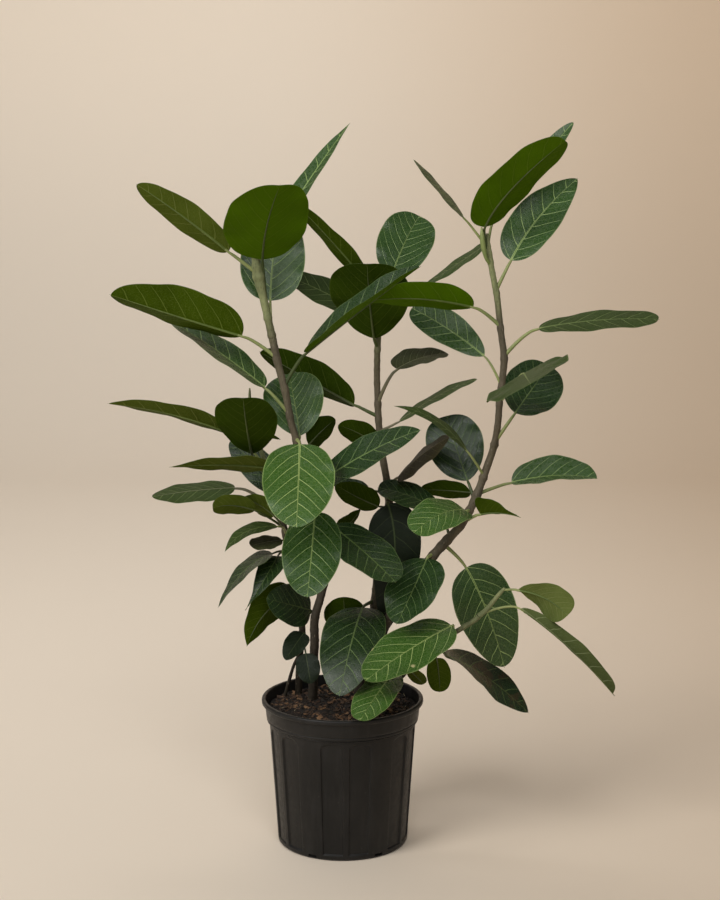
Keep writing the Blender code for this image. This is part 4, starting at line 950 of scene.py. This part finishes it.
def build_plant():
    veins, patches = leaf_vein_effect(), leaf_patch_effect()
    # blade's two greens and its veins' colour, roughness and gloss. Black, deep and dark are shaded copies of the mid
    # green, painted shade, bright is a lit copy, painted light, and matte, pale and grey are greyer greens that paint
    # the sheen of light grazing a face; matte also has little gloss
    uppers = {
        "black": ((.0022, .006, .0013), (.005, .013, .003), (.03, .05, .015), .42, .25),
        "deep": ((.003, .0115, .0022), (.007, .025, .005), (.15, .23, .07), .3, .35),
        "dark": ((.005, .018, .0035), (.011, .037, .007), (.18, .27, .09), .29, .42),
        "mid": ((.008, .034, .0045), (.02, .066, .009), (.32, .44, .15), .29, .42),
        "bright": ((.017, .062, .006), (.036, .108, .012), (.46, .58, .2), .29, .42),
        "matte": ((.02, .036, .008), (.04, .068, .015), (.2, .26, .09), .55, .1),
        "pale": ((.06, .085, .02), (.1, .125, .035), (.3, .34, .16), .5, .15),
        "grey": ((.03, .036, .013), (.055, .06, .022), (.16, .18, .08), .6, .1),
        "brown": ((.02, .017, .007), (.04, .034, .014), (.1, .09, .04), .55, .12),
    }
    # undersides: blade's two greens, its veins' colour and roughness. Black and dark are shaded copies, painted
    # shade, bright is painted light shining through the leaf, and pale and grey are greyer greens that paint the
    # sheen of light grazing the face
    unders = {
        "black": ((.004, .006, .0005), (.009, .013, .001), (.02, .025, .005), .7),
        "dark": ((.013, .027, .0005), (.025, .048, .001), (.07, .1, .015), .66),
        "mid": ((.027, .048, .0006), (.046, .08, .0015), (.13, .18, .03), .64),
        "bright": ((.046, .1, .0005), (.07, .145, .001), (.1, .17, .015), .62),
        "olive": ((.042, .062, .005), (.07, .098, .01), (.17, .2, .05), .64),
        "pale": ((.075, .105, .02), (.12, .155, .04), (.25, .28, .11), .64),
        "grey": ((.06, .062, .024), (.1, .1, .042), (.17, .17, .08), .7),
        "brown": ((.04, .03, .012), (.075, .055, .022), (.12, .1, .045), .7),
    }
    marks = {"bitten": ((.62, .55, .28), .78, .0, .05), "streaked": ((.06, .04, .016), .5, .7, .0)}
    # stalk and midrib greens; dark is a shaded copy, painted shade
    ribs = {
        "dark": ((.035, .055, .012), (.07, .095, .02)), "pale": ((.2, .24, .08), (.3, .34, .12)),
        "mid": ((.065, .1, .015), (.12, .17, .03)), "grey": ((.13, .12, .07), (.2, .18, .1)),
    }
    bark = bark_finish("bark", patches)
    sheath = rib_finish("sheath", patches, (.16, .21, .06), (.28, .33, .11))

    made = {}

    def look(name, build, *settings, **more):
        """A finish by name, built when it is first asked for."""
        if name not in made:
            made[name] = build(name, *settings, **more)
        return made[name]

    def finishes(leaf):
        top, low, rib = LOOKS.get(leaf[0], LOOK)
        mark = MARKED.get(leaf[0])
        deep, pale, vein, rough, shine = uppers[top]
        name = "leaf_upper_" + top + ("_" + mark if mark else "")
        face = look(name, leaf_finish, veins, patches, deep, pale, vein, rough=rough, shine=shine, marks=marks.get(mark))
        deep, pale, vein, rough = unders[low]
        back = look("leaf_under_" + low, leaf_finish, veins, patches, deep, pale, vein, upper=False, rough=rough)
        own = look("stalk_" + rib, rib_finish, patches, *ribs[rib if rib != "mid" else "pale"])
        return face, back, own, look("midrib_" + rib, rib_finish, patches, *ribs[rib])

    draw = random.Random(12)
    tones = {leaf[0]: draw.random() for leaf in LEAVES}

    def grow(leaves, growth, sets):
        """Adds leaves to a growth; each pair of faces takes the places of its finishes."""
        for leaf in leaves:
            first = len(growth.finish)
            add_blade(growth, leaf, tones[leaf[0]])
            add_stalk(growth, leaf)
            own = [sets.index(m) for m in finishes(leaf)]
            growth.finish[first:] = [own[k] for k in growth.finish[first:]]

    tips = {"left": "left_tip", "back": "back_tip", "centre": "centre_tip", "right": "right_tip", "low": "low_tip", "thin": "thin"}
    for number, (stem, word) in enumerate(tips.items()):
        leaves = [leaf for leaf in LEAVES if leaf[0].startswith(word + "_")]
        sets = list(dict.fromkeys([m for leaf in leaves for m in finishes(leaf)] + [sheath, bark]))
        growth = Growth()
        grow(leaves, growth, sets)
        low = SHOOT_FROM[stem] or None
        add_stem(growth, stem, low, None, sets.index(bark), number + 40, 16)
        for sheath_stem, foot, rows in SHEATHS:
            if sheath_stem == stem:
                first = len(growth.finish)
                add_sheath(growth, foot, rows, stem)
                growth.finish[first:] = [sets.index(sheath)] * (len(growth.finish) - first)
        growth.piece("grown_shoot_" + word, sets, "shoot_" + word)
        if low:
            growth = Growth()
            add_stem(growth, stem, None, low - .05, 0, number + 60)
            growth.piece("grown_stem_" + stem, [bark], "stem_" + stem)

    groups = {}
    for leaf in LEAVES:
        if any(leaf[0].startswith(word + "_") for word in tips.values()):
            continue
        word = next((fork for fork in ("back_fork", "back_sickle") if leaf[0].startswith(fork)), leaf[0])
        groups.setdefault(word, []).append(leaf)
    for word, leaves in groups.items():
        sets = list(dict.fromkeys([m for leaf in leaves for m in finishes(leaf)]))
        growth = Growth()
        grow(leaves, growth, sets)
        growth.piece("grown_leaf_" + word, sets, "leaf_" + word)
    return patches


def build_pot(patches):
    growth = Growth()
    add_pot(growth)
    growth.piece("moulded_pot", [pot_finish(patches)], "pot")
    earth = earth_finish("soil dark", patches, (.008, .0055, .004), (.022, .015, .01))
    growth = Growth()
    add_soil(growth)
    growth.piece("filled_soil", [earth], "soil")
    growth = Growth()
    add_litter(growth, 5)
    litter = [
        earth_finish("crumbs", patches, (.01, .0065, .0045), (.035, .022, .014)),
        earth_finish("bark chips dark", patches, (.035, .017, .009), (.09, .048, .024), 60.0, .8),
        earth_finish("bark chips warm", patches, (.13, .06, .025), (.27, .15, .07), 60.0, .8),
        earth_finish("straw pale", patches, (.3, .24, .14), (.5, .42, .28), 60.0, .8),
    ]
    growth.piece("soil_litter", litter, "soil")


def build_studio():
    """Floor and backdrop in one sweep, lights and camera."""
    made, tree, shader = finish("backdrop warm")
    split = tree.nodes.new("ShaderNodeSeparateXYZ")
    tree.links.new(surface_place(tree), split.inputs[0])
    # darker and warmer towards the right: painted shade of the key lamp's light falling off from the left
    sideways = ramp(tree, split.outputs[0], -.5, 1.7)
    colour = mix(tree, sideways, (.86, .755, .63), (.76, .60, .44))
    # darker low down and towards the back: painted shade on the far floor and the foot of the wall
    far = calc(tree, "MULTIPLY", ramp(tree, split.outputs[1], .3, 2.4), ramp(tree, split.outputs[2], 1.5, .3))
    colour = mix(tree, calc(tree, "MULTIPLY", far, .1), colour, (0, 0, 0))
    tree.links.new(colour, shader.inputs["Base Color"])
    shader.inputs["Roughness"].default_value = .9
    profile = [(-9, 0), (3.2, 0)]
    profile += [(3.2 + 1.6 * math.sin(a), 1.6 - 1.6 * math.cos(a)) for a in np.radians(np.linspace(6, 84, 14))]
    profile += [(4.8, 1.6), (4.8, 9)]
    points = [(x, y, z) for y, z in profile for x in (-9, 9)]
    faces = [(2 * i, 2 * i + 1, 2 * i + 3, 2 * i + 2) for i in range(len(profile) - 1)]
    mesh = bpy.data.meshes.new("sweep")
    mesh.from_pydata(points, [], faces)
    mesh.polygons.foreach_set("use_smooth", [True] * len(faces))
    mesh.materials.append(made)
    sweep = bpy.data.objects.new("sweep", mesh)
    bpy.context.scene.collection.objects.link(sweep)

    world = bpy.data.worlds.new("room")
    world.use_nodes = True
    tree = world.node_tree
    split = tree.nodes.new("ShaderNodeSeparateXYZ")
    tree.links.new(tree.nodes.new("ShaderNodeTexCoord").outputs["Generated"], split.inputs[0])
    strength = calc(tree, "MULTIPLY", ramp(tree, split.outputs[2], .0, .7, .48, .15), ramp(tree, split.outputs[0], .1, .9, 1.0, .5))
    tree.links.new(strength, tree.nodes["Background"].inputs[1])
    tree.nodes["Background"].inputs[0].default_value = (1, .985, .96, 1)
    bpy.context.scene.world = world
    bpy.context.scene.view_settings.view_transform = "Standard"
    for name, spot, aim, size, power, colour in (
        ("key", (-2.6, -2.4, 3.0), (0, 0, .7), 2.0, 100, (1, .98, .95)),
        ("front", (.3, -2.5, 3.0), (0, 0, .6), 1.3, 32, (1, 1, 1)),
        ("wall", (-.6, 1.2, 3.3), (0, 4.8, 1.2), 2.2, 62, (1, 1, 1)),
    ):
        lamp = bpy.data.lights.new(name, "AREA")
        lamp.energy, lamp.size, lamp.color = power, size, colour
        made = bpy.data.objects.new(name, lamp)
        made.location = spot
        made.rotation_euler = (Vector(aim) - Vector(spot)).to_track_quat("-Z", "Y").to_euler()
        bpy.context.scene.collection.objects.link(made)

    camera = bpy.data.cameras.new("camera")
    camera.lens, camera.sensor_width = LENS_MM, 36
    made = bpy.data.objects.new("camera", camera)
    made.location = EYE * CM
    made.rotation_euler = (math.radians(90 - LOOK_DOWN), 0, 0)
    bpy.context.scene.collection.objects.link(made)
    bpy.context.scene.camera = made


build_studio()
build_pot(build_plant())
